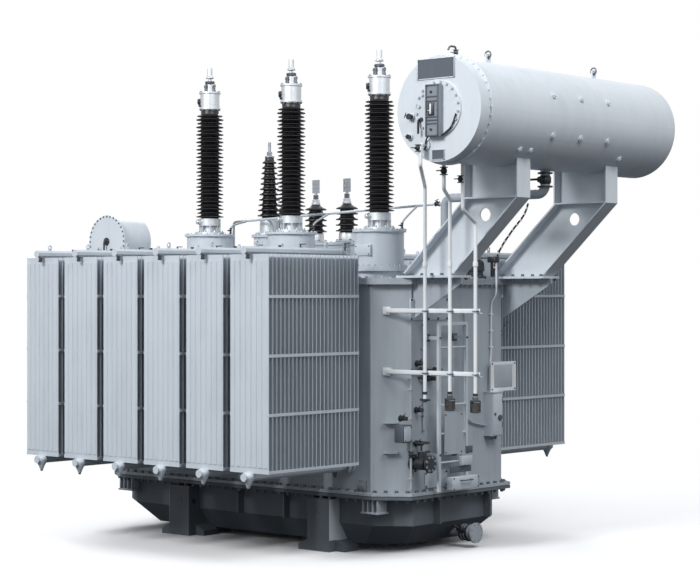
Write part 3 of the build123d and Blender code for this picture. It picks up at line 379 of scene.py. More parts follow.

# %% [markdown]
# Each solid piece now gets its finish. The record of the part names a slot for each one, and the
# table below says which finish stands for which slot, so that nothing is forgotten and nothing is
# typed twice. The turrets and the gas pipe take the paler radiator paint. On the turrets it is
# painted light, which lifts them out of the shade that falls on them. Read the other way round, the
# table tells the slot of each small part made later.

# %% Finishes for the solid pieces
finish_of = {
    "tank_paint": tank_enamel,
    "base_paint": base_enamel,
    "radiator_paint": radiator_enamel,
    "conservator_paint": conservator_enamel,
    "pipe_paint": pipe_enamel,
    "black_porcelain": porcelain,
    "bare_metal": cast_aluminium,
    "galvanised": hot_dip_zinc,
    "dark_metal": valve_enamel,
    "gasket_rubber": joint_rubber,
    "blank_plate": board_enamel,
    "gauge_face": gauge_plastic,
    "desiccant": drying_grains,
}
slot_of = {part["node"]: part["material_slot"] for part in frame["record"]["subparts"]}
for name, solid in nodes.items():
    solid.data.materials.clear()
    solid.data.materials.append(finish_of[slot_of[name]])
nodes["conservator_blank_plates"].data.materials[0] = plate_enamel
# The turrets get the paler radiator paint as painted light, against the shade that falls on them.
for name in ("hv_turrets", "neutral_turret", "lv_turret_box", "gas_pipe"):
    nodes[name].data.materials[0] = radiator_enamel
slot_for = {finish.name: slot for slot, finish in finish_of.items()}
for finish, slot in (
    (dull_steel, "dark_metal"), (plate_enamel, "dark_metal"), (cable_sheath, "gasket_rubber"),
    (acrylic, "gauge_face"),
):
    slot_for[finish.name] = slot
print("finished", len(nodes), "solid pieces with", len(finish_of), "finishes")

# %% [markdown]
# The rest of the lesson is modelling. Places are told from the middle of the tank, because
# everything on the machine is bolted or welded to it. The whole machine reaches further at the
# conservator's end, so the tank's middle is not the middle of the frame.
#
# Most small parts are turned on a lathe, cut from flat bar, or bent from pipe, and one helper
# stands for each of these three ways of making. A fourth adds a bolt. Three measures come back all
# over the machine: how far out its end wall stands, how high its cover lies, and the radius of its
# thin pipes and armoured leads.

# %% Helpers for modelling
tank_low, tank_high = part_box("tank")
MIDDLE = (tank_low[0] + tank_high[0]) / 2
TO_LADDER = (1.0, 0.0, 0.0)
TO_VIEWER = (0.0, -1.0, 0.0)
AWAY = (0.0, 1.0, 0.0)
UP = (0.0, 0.0, 1.0)
DOWN = (0.0, 0.0, -1.0)
WALL = 2.19
COVER_TOP = 2.885
THIN_PIPE = 0.011
SIDES = (-1, 1)
FOUR_CORNERS = list(product(SIDES, SIDES))


def at(x, y, z):
    """A place in the frame, from the middle of the tank."""
    return Vector((MIDDLE + x, y, z))


def upright(place, axis=UP):
    """The matrix that stands a shape made around Z on a place, along an axis."""
    turn = Vector(axis).normalized().to_track_quat("Z", "Y")
    return Matrix.Translation(place) @ turn.to_matrix().to_4x4()


def join(work, part, place):
    """Move a finished step to its place and add it to the piece in work."""
    bmesh.ops.transform(part, matrix=place, verts=part.verts)
    mesh = bpy.data.meshes.new("step")
    part.to_mesh(mesh)
    part.free()
    work.from_mesh(mesh)
    bpy.data.meshes.remove(mesh)


def swept(work, part, place, steps):
    """Sweep an outline round Z, close the skin and join it to the piece in work."""
    bmesh.ops.spin(
        part, geom=part.verts[:] + part.edges[:], cent=(0, 0, 0), axis=UP, angle=2 * math.pi,
        steps=steps, use_merge=True,
    )
    bmesh.ops.remove_doubles(part, verts=part.verts, dist=0.00001)
    bmesh.ops.recalc_face_normals(part, faces=part.faces)
    join(work, part, place)


def turned(work, profile, place, axis=UP, steps=32):
    """Turn a profile of (radius, height) pairs on a lathe, from the axis round to the axis."""
    part = bmesh.new()
    corners = [part.verts.new((radius, 0.0, height)) for radius, height in profile]
    for pair in zip(corners, corners[1:]):
        part.edges.new(pair)
    swept(work, part, upright(place, axis), steps)


def disc(radius, low, high, edge=0.002):
    """The profile of a disc with broken edges."""
    return [
        (0, low), (radius - edge, low), (radius, low + edge), (radius, high - edge),
        (radius - edge, high), (0, high),
    ]


def bar(work, start, end, radius, steps=12, edge=0.001):
    """A straight round bar or pipe from one place to another."""
    run = Vector(end) - Vector(start)
    turned(work, disc(radius, 0, run.length, edge), Vector(start), run, steps)


def brick(work, corner, opposite, edge=0.002):
    """A bar or box with broken edges between two opposite corners, told in any order."""
    low = Vector([min(pair) for pair in zip(corner, opposite)])
    high = Vector([max(pair) for pair in zip(corner, opposite)])
    part = bmesh.new()
    bmesh.ops.create_cube(part, size=1.0)
    bmesh.ops.scale(part, vec=high - low, verts=part.verts)
    bmesh.ops.bevel(
        part, geom=part.edges[:], offset=edge, segments=2, profile=0.5, affect="EDGES", material=-1
    )
    join(work, part, Matrix.Translation((low + high) / 2))


def bolt(work, place, axis, across, height=0.4):
    """A six-sided head on a round washer. The head is 'across' wide over its corners."""
    part = bmesh.new()
    washer = across * 0.09
    bmesh.ops.create_cone(
        part, cap_ends=True, segments=12, radius1=across * 0.64, radius2=across * 0.62,
        depth=washer, matrix=Matrix.Translation((0, 0, washer / 2)),
    )
    bmesh.ops.create_cone(
        part, cap_ends=True, segments=6, radius1=across / 2, radius2=across * 0.46,
        depth=across * height, matrix=Matrix.Translation((0, 0, washer + across * height / 2)),
    )
    join(work, part, upright(place, axis))


def ring(centre, axis, radius, count, start=0.0):
    """Evenly spaced places on a circle around an axis; the start is in degrees."""
    place = upright(centre, axis)
    for step in range(count):
        angle = math.radians(start) + 2 * math.pi * step / count
        yield place @ Vector((radius * math.cos(angle), radius * math.sin(angle), 0))


def bolt_ring(work, centre, axis, radius, count, across, start=0.0):
    """Bolts on a circle, all facing along its axis."""
    for place in ring(centre, axis, radius, count, start):
        bolt(work, place, axis, across)


def bolt_grid(work, axis, across, xs, ys, zs, height=0.4):
    """Bolts at each crossing of the places told along the three axes."""
    for place in product(xs, ys, zs):
        bolt(work, at(*place), axis, across, height)


def tube(work, points, radius):
    """A bent pipe or conduit: a smooth curve through the air with a round section."""
    curve = bpy.data.curves.new("route", "CURVE")
    curve.dimensions = "3D"
    curve.bevel_depth = radius
    curve.bevel_resolution = 3
    curve.use_fill_caps = True
    curve.resolution_u = 8
    spline = curve.splines.new("NURBS")
    spline.points.add(len(points) - 1)
    for knot, point in zip(spline.points, points):
        knot.co = (*point, 1.0)
    spline.order_u = 3
    spline.use_endpoint_u = True
    holder = bpy.data.objects.new("route", curve)
    mesh = bpy.data.meshes.new_from_object(holder)
    work.from_mesh(mesh)
    bpy.data.objects.remove(holder)
    bpy.data.curves.remove(curve)
    bpy.data.meshes.remove(mesh)


def route(work, radius, *places):
    """A bent pipe along places told from the middle of the tank."""
    tube(work, [at(*place) for place in places], radius)


def fresh(count):
    """Empty steps for several pieces."""
    return [bmesh.new() for _ in range(count)]


def piece(name, work, finish, stands_for=()):
    """Finish a piece: smooth it up to its sharp edges, paint it and hang it on the machine."""
    mesh = bpy.data.meshes.new(name)
    work.to_mesh(mesh)
    work.free()
    mesh.shade_smooth()
    mesh.set_sharp_from_angle(angle=math.radians(35))
    mesh.materials.append(finish)
    thing = bpy.data.objects.new(name, mesh)
    bpy.context.scene.collection.objects.link(thing)
    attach(thing, "root")
    if stands_for:
        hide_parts(*stands_for)
    print(name, len(mesh.polygons), "faces")


print("middle of the tank", round(MIDDLE, 3), "m along the frame")

# %% [markdown]
# The tank is an oblong with its four corners cut off. Its flanges follow that outline, and so do
# their bolts: about a hundred clamp the tank to the tray, and some hundred and thirty hold the
# cover. Bolts on a flange like this stand 90 to 120 mm apart, close enough that the gasket never
# opens between them.

# %% Long rows of flange bolts
HALF_LENGTH, HALF_WIDTH = WALL, 1.02
CUT_X, CUT_Y = 0.34, 0.24
JOINT_TOP, JOINT_UNDER, COVER_UNDER = 0.66, 0.59, 2.818


def walk(reach, pitch):
    """Places (x, y) along the tank's outline, a distance outside its wall."""
    slant = math.hypot(CUT_X, CUT_Y)
    line = (CUT_Y * HALF_LENGTH + CUT_X * (HALF_WIDTH - CUT_Y)) / slant + reach
    far_x, far_y = HALF_LENGTH + reach, HALF_WIDTH + reach
    turn_y = (line * slant - CUT_Y * far_x) / CUT_X
    turn_x = (line * slant - CUT_X * far_y) / CUT_Y
    corners = [
        (far_x, -turn_y), (far_x, turn_y), (turn_x, far_y), (-turn_x, far_y),
        (-far_x, turn_y), (-far_x, -turn_y), (-turn_x, -far_y), (turn_x, -far_y),
    ]
    for (x0, y0), (x1, y1) in zip(corners, corners[1:] + corners[:1]):
        count = round(math.hypot(x1 - x0, y1 - y0) / pitch)
        for step in range(count):
            share = (step + 0.5) / count
            yield x0 + (x1 - x0) * share, y0 + (y1 - y0) * share


bolts, nuts = fresh(2)
for x, y in walk(0.045, 0.12):
    bolt(bolts, at(x, y, JOINT_TOP), UP, 0.04, 0.5)
    bolt(nuts, at(x, y, JOINT_UNDER), DOWN, 0.04, 0.7)
piece("joint_bolts", bolts, dull_steel)
piece("joint_nuts", nuts, base_enamel)

bolts = bmesh.new()
for x, y in walk(0.03, 0.09):
    bolt(bolts, at(x, y, COVER_TOP), UP, 0.028, 0.5)
    bolt(bolts, at(x, y, COVER_UNDER), DOWN, 0.028, 0.7)
piece("cover_bolts", bolts, tank_enamel)

# %% [markdown]
# Each high voltage bushing stands on a round turret. The turret is a pot with a flange low down and
# a lid on top, and a ring of bolts goes round each. The bushing's own foot has eight bolts between
# its webs.

# %% Turret bolts
HV_PLACES = [(-1.078, -0.45), (0.204, -0.45), (1.486, -0.45)]
NEUTRAL_PLACE = (-0.74, 0.2)
FLANGE_TOP, FLANGE_UNDER = 3.017, 2.963
LID_RIM, LID_TOP = 3.404, 3.432

bolts = bmesh.new()
for x, y in HV_PLACES:
    bolt_ring(bolts, at(x, y, FLANGE_TOP), UP, 0.283, 24, 0.026)
    bolt_ring(bolts, at(x, y, FLANGE_UNDER), DOWN, 0.276, 24, 0.024)
    bolt_ring(bolts, at(x, y, LID_RIM), UP, 0.277, 24, 0.026, 7.5)
    bolt_ring(bolts, at(x, y, LID_TOP), UP, 0.145, 8, 0.034, 22.5)
bolt_ring(bolts, at(*NEUTRAL_PLACE, LID_RIM), UP, 0.199, 16, 0.024)
bolt_ring(bolts, at(*NEUTRAL_PLACE, LID_TOP), UP, 0.146, 8, 0.026, 22.5)
piece("turret_bolts", bolts, hot_dip_zinc)

# %% [markdown]
# A porcelain insulator is a tube with sheds, thin skirts that keep a dry path along its length when
# it rains. The sheds slope down outwards, their lower side is nearly flat with a small drip lip,
# and wide and narrow ones take turns on the tall insulators. The profile is drawn once for a shed
# and repeated.

# %% Porcelain
def shed(core, tip, base, height):
    """One shed's profile, from its underside over its rounded lip to the tube above."""
    reach = tip - core
    return [
        (core, base), (core + 0.1 * reach, base + 0.05 * height),
        (core + 0.4 * reach, base + 0.12 * height), (tip - 0.005, base + 0.08 * height),
        (tip - 0.001, base + 0.11 * height), (tip, base + 0.2 * height),
        (tip - 0.003, base + 0.31 * height), (core + 0.4 * reach, base + 0.48 * height),
        (core + 0.1 * reach, base + 0.6 * height), (core, base + 0.76 * height),
    ]


def stand_insulators(name, profile, places, steps, replaced):
    """Turn one insulator's profile at each of its places."""
    sheds = bmesh.new()
    for x, y in places:
        turned(sheds, profile, at(x, y, 0), steps=steps)
    piece(name, sheds, porcelain, [replaced])


HV_PORCELAIN_LOW, HV_PORCELAIN_TOP = 3.589, 4.842
HV_CORE, HV_PITCH = 0.104, 0.0432
hv_profile = [(0, HV_PORCELAIN_LOW), (HV_CORE, HV_PORCELAIN_LOW)]
for step in range(28):
    tip = 0.16 if step % 2 == 0 else 0.148
    hv_profile += shed(HV_CORE, tip, HV_PORCELAIN_LOW + 0.014 + step * HV_PITCH, HV_PITCH)
hv_profile += [(HV_CORE, HV_PORCELAIN_TOP), (0, HV_PORCELAIN_TOP)]
stand_insulators("hv_porcelain", hv_profile, HV_PLACES, 48, "hv_insulators")

NEUTRAL_LOW, NEUTRAL_TOP, NEUTRAL_PITCH = 3.604, 4.317, 0.062
neutral_profile = [(0, NEUTRAL_LOW), (0.09, NEUTRAL_LOW)]
for step in range(11):
    share = step / 10
    base = NEUTRAL_LOW + 0.02 + step * NEUTRAL_PITCH
    neutral_profile += shed(0.09 - 0.036 * share, 0.142 - 0.058 * share, base, NEUTRAL_PITCH)
neutral_profile += [(0.052, NEUTRAL_TOP), (0, NEUTRAL_TOP)]
stand_insulators("neutral_porcelain", neutral_profile, [NEUTRAL_PLACE], 40, "neutral_insulator")

BOX_TOP = 3.32
LV_PLACES = [(-0.942, 0.7), (-0.456, 0.7), (0.03, 0.7)]
LV_CORE, LV_PITCH = 0.08, 0.066
lv_profile = [(0, 3.44), (LV_CORE, 3.44)]
for step in range(4):
    lv_profile += shed(LV_CORE, 0.13, 3.444 + step * LV_PITCH, LV_PITCH)
lv_profile += [
    (0.082, 3.706), (0.124, 3.709), (0.129, 3.714), (0.124, 3.722), (0.086, 3.742), (0.058, 3.762),
    (0.05, 3.772), (0, 3.772),
]
stand_insulators("lv_porcelain", lv_profile, LV_PLACES, 40, "lv_insulators")

# %% [markdown]
# Under each low voltage insulator a cast clamping ring presses its foot to the box with six bolts.

# %% Low voltage feet and terminals
feet, nuts = fresh(2)
for x, y in LV_PLACES:
    turned(
        feet,
        [(0, BOX_TOP), (0.133, BOX_TOP), (0.135, 3.323), (0.135, 3.341), (0.131, 3.344),
         (0.104, 3.346), (0.099, 3.352), (0.094, 3.428), (0.088, 3.438), (0.074, 3.442),
         (0, 3.442)],
        at(x, y, 0), steps=40,
    )
    bolt_ring(nuts, at(x, y, 3.344), UP, 0.118, 6, 0.026, 30)
    turned(feet, disc(0.052, 3.772, 3.8, 0.004), at(x, y, 0), steps=28)
    turned(feet, disc(0.046, 3.8, 3.834, 0.003), at(x, y, 0), steps=6)
    for level in (3.85, 3.876):
        turned(nuts, disc(0.034, -0.011, 0.011), at(x, y, level), steps=6)
piece("lv_bushing_feet", feet, cast_aluminium)
piece("lv_terminal_nuts", nuts, dull_steel)

bolts = bmesh.new()
along_lid = [-1.115 + step * 0.0748 for step in range(18)]
bolt_grid(bolts, UP, 0.022, along_lid, (0.532, 0.868), (BOX_TOP,))
bolt_grid(bolts, UP, 0.022, (-1.14, 0.228), (0.6, 0.7, 0.8), (BOX_TOP,))
piece("lv_box_bolts", bolts, hot_dip_zinc)

nuts = bmesh.new()
turned(nuts, disc(0.056, NEUTRAL_TOP, 4.335, 0.004), at(*NEUTRAL_PLACE, 0), steps=28)
for level in (4.348, 4.374):
    turned(nuts, disc(0.034, -0.011, 0.011), at(*NEUTRAL_PLACE, level), steps=6)
piece("neutral_nuts", nuts, hot_dip_zinc)

# %% [markdown]
# The head of a high voltage bushing is an aluminium can that holds spare oil. It has a bolted lid,
# an oil sight low on one side, a filling plug beside it, and a clamp for the line conductor on its
# stud. The machine in the photograph has the sights on the side away from the conservator.

# %% Bushing heads
SIGHT_ANGLE = math.radians(217)
PLUG_LEVEL, SIGHT_LEVEL, HEAD_TOP, CLAMP_LEVEL = 4.898, 4.948, 5.0558, 5.168

bolts, sights, stud_nuts, clamps, taps = fresh(5)
for x, y in HV_PLACES:
    top = at(x, y, HEAD_TOP)
    bolt_ring(bolts, top, UP, 0.112, 8, 0.022, 22.5)
    for place in ring(top, UP, 0.07, 4, 5):
        bar(bolts, place, place + Vector((0, 0, 0.09)), 0.01, 8)
        bolt(bolts, place, UP, 0.032, 0.6)
        bolt(bolts, place + Vector((0, 0, 0.06)), UP, 0.03, 0.6)
    out = Vector((math.cos(SIGHT_ANGLE), math.sin(SIGHT_ANGLE), 0))
    side = Vector((-out.y, out.x, 0))
    eye = at(x, y, SIGHT_LEVEL) + out * 0.106
    turned(
        sights,
        [(0, 0), (0.034, 0), (0.036, 0.004), (0.036, 0.03), (0.03, 0.036), (0.024, 0.028),
         (0, 0.026)],
        eye, out, 20,
    )
    plug = at(x, y, PLUG_LEVEL) + (out + side * 0.42).normalized() * 0.108
    turned(sights, disc(0.016, 0, 0.026), plug, out, 6)
    turned(stud_nuts, disc(0.046, 5.214, 5.228, 0.003), at(x, y, 0), steps=28)
    turned(stud_nuts, disc(0.04, 5.228, 5.246, 0.003), at(x, y, 0), steps=6)
    brick(clamps, at(x - 0.046, y - 0.03, 5.15), at(x + 0.046, y + 0.03, 5.186), 0.005)
    for shift in (-0.034, 0.034):
        bolt(clamps, at(x + shift, y - 0.03, CLAMP_LEVEL), TO_VIEWER, 0.02)
        bolt(clamps, at(x + shift, y + 0.03, CLAMP_LEVEL), AWAY, 0.02)
    for place in ring(at(x, y, HV_PORCELAIN_TOP), UP, 0.106, 8):
        bolt(clamps, place, UP, 0.022, 0.5)
    tap_out = Vector((math.cos(SIGHT_ANGLE + 0.5), math.sin(SIGHT_ANGLE + 0.5), 0))
    turned(
        taps,
        [(0, -0.01), (0.034, -0.01), (0.034, 0.012), (0.028, 0.014), (0.027, 0.04), (0.022, 0.046),
         (0, 0.046)],
        at(x, y, 3.551) + tap_out * 0.121, tap_out, 20,
    )
piece("head_bolts", bolts, dull_steel)
piece("head_oil_sights", sights, valve_enamel)
piece("stud_nuts", stud_nuts, cast_aluminium)
piece("stem_clamps", clamps, dull_steel)
piece("measuring_taps", taps, cast_aluminium)

# %% [markdown]
# The current transformers inside the turrets bring their wires out to a small box on each turret.
# Each box has a screwed lid and a gland below, and a thin branch takes gas from the turret's lid to
# the pipe that leads to the relay.

# %% Turret boxes and gas branches
boxes, screws = fresh(2)
for x, y in HV_PLACES:
    brick(boxes, at(x - 0.115, -0.728, 3.126), at(x + 0.105, -0.69, 3.242), 0.006)
    brick(boxes, at(x - 0.105, -0.7, 3.134), at(x + 0.095, -0.652, 3.234), 0.004)
    bolt_grid(screws, TO_VIEWER, 0.014, (x - 0.095, x + 0.085), (-0.728,), (3.142, 3.226))
    for shift in (-0.055, 0.045):
        bar(screws, at(x + shift, -0.69, 3.128), at(x + shift, -0.69, 3.088), 0.014)
piece("turret_boxes", boxes, radiator_enamel)
piece("turret_box_screws", screws, dull_steel)


SMALL_BODY = [
    (0, -1), (0.55, -1), (0.55, -0.7), (0.3, -0.6), (0.45, 0), (0.3, 0.6), (0.55, 0.7), (0.55, 1),
    (0, 1),
]


def scaled(shape, size):
    """A profile that was drawn for a size of one, made larger or smaller."""
    return [(radius * size, height * size) for radius, height in shape]


def small_valve(work, place, size):
    """A little stop valve in an upright pipe: a body, a bonnet across it and a T-shaped key."""
    along, up = Vector(UP), Vector(TO_VIEWER)
    turned(work, scaled(SMALL_BODY, size), place, along, 12)
    bar(work, place, place + up * size * 1.3, size * 0.26, 8)
    bar(work, place + up * size * 0.8, place + up * size, size * 0.4, 6)
    across = along.cross(up) * size * 0.7
    bar(work, place + up * size * 1.3 - across, place + up * size * 1.3 + across, size * 0.14, 8)


branches, valves = fresh(2)
for x, y in HV_PLACES:
    tap = (x + 0.2, y + 0.14)
    end = (tap[0], -0.06, 3.56 + (x + 1.13) * 0.039)
    route(branches, THIN_PIPE, (*tap, 3.4), (*tap, 3.47), (tap[0], y + 0.17, 3.52), end)
    bar(valves, at(*tap, 3.402), at(*tap, 3.42), 0.03, 16)
    small_valve(valves, at(*tap, 3.452), 0.03)
tube(
    branches,
    [at(*NEUTRAL_PLACE, 3.4) + Vector((0.15, -0.09, 0)), at(-0.59, 0.1, 3.5),
     at(-0.59, 0.06, 3.56), at(-0.59, 0.01, 3.586)],
    THIN_PIPE,
)
piece("gas_branches", branches, tank_enamel)
piece("gas_branch_valves", valves, valve_enamel)

# %% [markdown]
# Each radiator hangs between an upper and a lower header. A maker puts an air plug on top of the
# upper header, a funnel-shaped end with a drain plug on the lower one, and two eyes to lift the
# radiator with a crane. Both rows are alike, so one loop makes both sides of the machine.

# %% Radiator fittings
def hoop(work, centre, axis, radius, thickness):
    """A ring of round bar."""
    part = bmesh.new()
    bmesh.ops.create_circle(part, cap_ends=False, segments=10, radius=thickness)
    upend = Matrix.Rotation(math.pi / 2, 3, "X")
    bmesh.ops.rotate(part, cent=(0, 0, 0), matrix=upend, verts=part.verts)
    bmesh.ops.translate(part, vec=(radius, 0, 0), verts=part.verts)
    swept(work, part, upright(centre, axis), 24)


RADIATOR_PITCH = 0.626
GATE_Y, STUB_Y, FUNNEL_Y, FAR_Y = 1.105, 1.26, 2.556, 2.6
HEADER_TOP, HEADER_LOW = 3.1518, 0.9112

for row, side in (("front", -1.0), ("back", 1.0)):
    plugs, funnels, eyes, bolts, levers = fresh(5)
    for number in range(6):
        x = (number - 2.5) * RADIATOR_PITCH
        end = side * FAR_Y
        # The dark plug under the front end of each upper header is partly a vent plug and partly
        # painted shade, where the header's end shades the panel below it.
        bar(plugs, at(x + 0.03, end, 3.116), at(x + 0.03, end, 3.078), 0.017)
        turned(plugs, disc(0.021, 0, 0.016), at(x + 0.03, end, 3.082), DOWN, 6)
        turned(
            funnels,
            [(0, 0.8), (0.012, 0.8), (0.018, 0.806), (0.03, 0.838), (0.064, 0.9), (0.068, 0.916),
             (0.064, 0.936), (0.05, 0.952), (0.026, 0.962), (0, 0.964)],
            at(x, side * FUNNEL_Y, 0), UP, 20,
        )
        turned(plugs, disc(0.014, 0, 0.016), at(x, side * FUNNEL_Y, 0.802), DOWN, 6)
        turned(plugs, disc(0.024, 0, 0.03), at(x, side * STUB_Y, HEADER_LOW - 0.036), DOWN, 6)
        turned(plugs, disc(0.014, 0.03, 0.06), at(x, side * STUB_Y, HEADER_LOW - 0.036), DOWN, 12)
        turned(plugs, disc(0.018, 0, 0.02), at(x, side * 2.1, HEADER_TOP + 0.038), UP, 6)
        for y in (1.4, 2.44):
            brick(
                eyes, at(x - 0.005, side * y - 0.022, HEADER_TOP + 0.036),
                at(x + 0.005, side * y + 0.022, HEADER_TOP + 0.062), 0.001,
            )
            hoop(eyes, at(x, side * y, HEADER_TOP + 0.076), TO_LADDER, 0.02, 0.007)
        for level in (HEADER_TOP, HEADER_LOW):
            gate = at(x, side * GATE_Y, level)
            for way in SIDES:
                face = gate + Vector((0, way * 0.018, 0))
                bolt_ring(bolts, face, (0, way, 0), 0.06, 6, 0.02, 30)
            bar(levers, gate, gate + Vector((0, 0, 0.1)), 0.008, 8)
            grip_low, grip_high = Vector((-0.01, -0.008, 0.092)), Vector((0.075, 0.008, 0.102))
            brick(levers, gate + grip_low, gate + grip_high)
    piece(f"radiator_plugs_and_painted_shade_{row}", plugs, valve_enamel)
    piece(f"radiator_drain_ends_{row}", funnels, radiator_enamel)
    piece(f"radiator_eyes_{row}", eyes, radiator_enamel)
    piece(f"radiator_valve_bolts_{row}", bolts, hot_dip_zinc)
    piece(f"radiator_valve_levers_{row}", levers, valve_enamel)

# %% [markdown]
# The conservator's end comes off for cleaning, so a full circle of bolts holds it, and a smaller
# circle holds the inspection cover. Welded pads along the drum are closed with plugs.

# %% Conservator bolts and plugs
DRUM = (3.33, 4.493)
DRUM_RADIUS = 0.508

bolts = bmesh.new()
bolt_ring(bolts, at(DRUM[0], -1.624, DRUM[1]), TO_VIEWER, 0.5205, 40, 0.018)
bolt_ring(bolts, at(DRUM[0], -1.596, DRUM[1]), AWAY, 0.5205, 40, 0.018)
piece("conservator_flange_bolts", bolts, conservator_enamel)

bolts = bmesh.new()
bolt_ring(bolts, at(DRUM[0], -1.786, DRUM[1]), TO_VIEWER, 0.252, 20, 0.026, 9)
piece("manhole_bolts", bolts, tank_enamel)

plugs = bmesh.new()
pads = [(y, z) for y in (-0.53, -0.045, 0.445) for z in (4.285, 4.683)]
pads += [(-0.946, 4.13), (-0.764, 4.13), (0.827, 4.13)]
for y, z in pads:
    tilt = math.asin((z - DRUM[1]) / DRUM_RADIUS)
    out = Vector((math.cos(tilt), 0, math.sin(tilt)))
    face = at(DRUM[0], y, DRUM[1]) + out * (DRUM_RADIUS + 0.014)
    turned(plugs, disc(0.022, 0, 0.01, 0.003), face, out, 6)
shackles = bmesh.new()
for y in (-0.98, 0.89):
    hoop(shackles, at(DRUM[0], y, 5.084), AWAY, 0.034, 0.008)
    bar(shackles, at(3.318, y, 5.052), at(3.342, y, 5.052), 0.015)
piece("drum_shackles", shackles, dull_steel)
piece("drum_plugs", plugs, conservator_enamel)

# %% [markdown]
# The level gauge is a long plate with a window in the middle, where a pointer shows how high the
# oil stands. Its cable leaves in a rigid conduit that is clipped to the cover and runs down to the
# pipes. The boards above and below it are left bare, each held by a screw in every corner.

# %% Level gauge
GAUGE_FACE = -1.846


def face_box(work, x0, x1, z0, z1, out, back, edge):
    """A flat box on the gauge's face, told by how far it stands out and how far it goes back."""
    brick(work, at(x0, GAUGE_FACE - out, z0), at(x1, GAUGE_FACE + back, z1), edge)


border = bmesh.new()
face_box(border, 3.232, 3.246, 4.225, 4.721, 0.01, 0.004, 0.003)
face_box(border, 3.374, 3.388, 4.225, 4.721, 0.01, 0.004, 0.003)
for level in (4.225, 4.34, 4.372, 4.404, 4.556, 4.598, 4.707):
    face_box(border, 3.24, 3.38, level, level + 0.014, 0.008, 0.004, 0.003)
piece("gauge_frame", border, plate_enamel)

window = bmesh.new()
face_box(window, 3.262, 3.336, 4.424, 4.548, 0.012, -0.001, 0.004)
for level in (4.65, 4.29):
    turned(window, disc(0.011, 0, 0.016), at(3.299, GAUGE_FACE, level), TO_VIEWER, 20)
piece("gauge_window", window, valve_enamel)

pointer = bmesh.new()
face_box(pointer, 3.29, 3.308, 4.438, 4.536, 0.017, -0.011, 0.002)
face_box(pointer, 3.268, 3.288, 4.47, 4.476, 0.015, -0.011, 0.001)
piece("gauge_pointer", pointer, board_enamel)

screws = bmesh.new()
bolt_grid(screws, TO_VIEWER, 0.013, (3.242, 3.378), (GAUGE_FACE - 0.009,), (4.236, 4.473, 4.71))
rims = bmesh.new()
SCREW_INSET = 0.014
for middle, rise, width, height, rim in (
    (3.3, 4.881, 0.455, 0.2, 0.008), (3.33, 4.053, 0.155, 0.1, 0.006)
):
    x0, x1 = middle - width / 2, middle + width / 2
    z0, z1 = rise - height / 2, rise + height / 2
    bolt_grid(
        screws, TO_VIEWER, 0.014, (x0 + SCREW_INSET, x1 - SCREW_INSET), (-1.776,),
        (z0 + SCREW_INSET, z1 - SCREW_INSET),
    )
    for low, high in (
        ((x0, z0), (x1, z0 + rim)), ((x0, z1 - rim), (x1, z1)),
        ((x0, z0), (x0 + rim, z1)), ((x1 - rim, z0), (x1, z1)),
    ):
        brick(rims, at(low[0], -1.7795, low[1]), at(high[0], -1.774, high[1]), 0.001)
piece("plate_screws", screws, dull_steel)
piece("plate_rims", rims, conservator_enamel)

conduits = bmesh.new()
gauge_lead = [
    (3.56, 4.43), (3.535, 4.35), (3.49, 4.29), (3.42, 4.245), (3.37, 4.225), (3.32, 4.245),
    (3.262, 4.262), (3.214, 4.225), (3.19, 4.17), (3.185, 4.1),
]
tube(conduits, [at(x, -1.8, z) for x, z in gauge_lead], 0.008)
route(
    conduits, THIN_PIPE, (3.116, -1.79, 4.4), (3.116, -1.815, 4.395), (3.116, -1.815, 4.35),
    (3.116, -1.815, 4.26),
)
piece("gauge_conduits", conduits, cable_sheath)

# %% [markdown]
# A handful of stop valves sit on the conservator's face and in the three pipes that drop from it,
# each with its bonnet and a bar to turn it with. The drum's air cock stands on top, close to the
# flange.

# %% Conservator valves
GATE_BODY = [
    (0, -1), (1, -1), (1, -0.78), (0.55, -0.74), (0.8, -0.3), (0.8, 0.3), (0.55, 0.74), (1, 0.78),
    (1, 1), (0, 1),
]


def gate_valve(work, place, axis, out, size):
    """A flanged stop valve in a pipe: two flanges, a round body, a bonnet and a bar handle."""
    turned(work, scaled(GATE_BODY, size), place, axis, 20)
    out = Vector(out).normalized()
    across = Vector(axis).normalized().cross(out)
    bar(work, place, place + out * size * 1.35, size * 0.42, 12)
    bar(work, place + out * size * 1.35, place + out * size * 1.8, size * 0.16, 8)
    grip = place + out * size * 1.75
    bar(work, grip - across * size * 1.3, grip + across * size * 1.3, size * 0.15, 8)


valves = bmesh.new()
gate_valve(valves, at(3.003, -1.795, 4.433), TO_VIEWER, (-0.5, -0.6, 0.2), 0.03)
gate_valve(valves, at(2.982, -1.79, 4.24), TO_VIEWER, (-0.2, -1.0, 0.0), 0.024)
gate_valve(valves, at(3.162, -1.87, 4.118), UP, (0.0, -1.0, 0.0), 0.034)
turned(valves, disc(0.02, 0, 0.03), at(3.137, -1.77, 4.4), TO_VIEWER, 6)
gate_valve(valves, at(3.105, -1.4, 3.924), UP, (0.3, -1.0, 0.0), 0.04)
gate_valve(valves, at(3.213, -1.27, 3.845), UP, (0.3, -1.0, 0.0), 0.036)
piece("stop_valves", valves, valve_enamel)

bosses = bmesh.new()
for x, z in ((3.106, 4.523), (3.147, 4.633), (3.137, 4.4), (3.003, 4.433), (2.982, 4.24)):
    turned(bosses, disc(0.036, 0, 0.012), at(x, -1.77, z), TO_VIEWER, 20)
for x, z in ((3.106, 4.523), (3.147, 4.633)):
    turned(bosses, disc(0.018, 0, 0.034), at(x, -1.77, z), TO_VIEWER, 6)
turned(bosses, disc(0.052, 0, 0.016), at(3.18, -1.77, 4.15), TO_VIEWER, 24)
brick(bosses, at(3.255, -1.56, 4.994), at(3.405, -1.44, 5.012), 0.004)
piece("face_bosses", bosses, conservator_enamel)

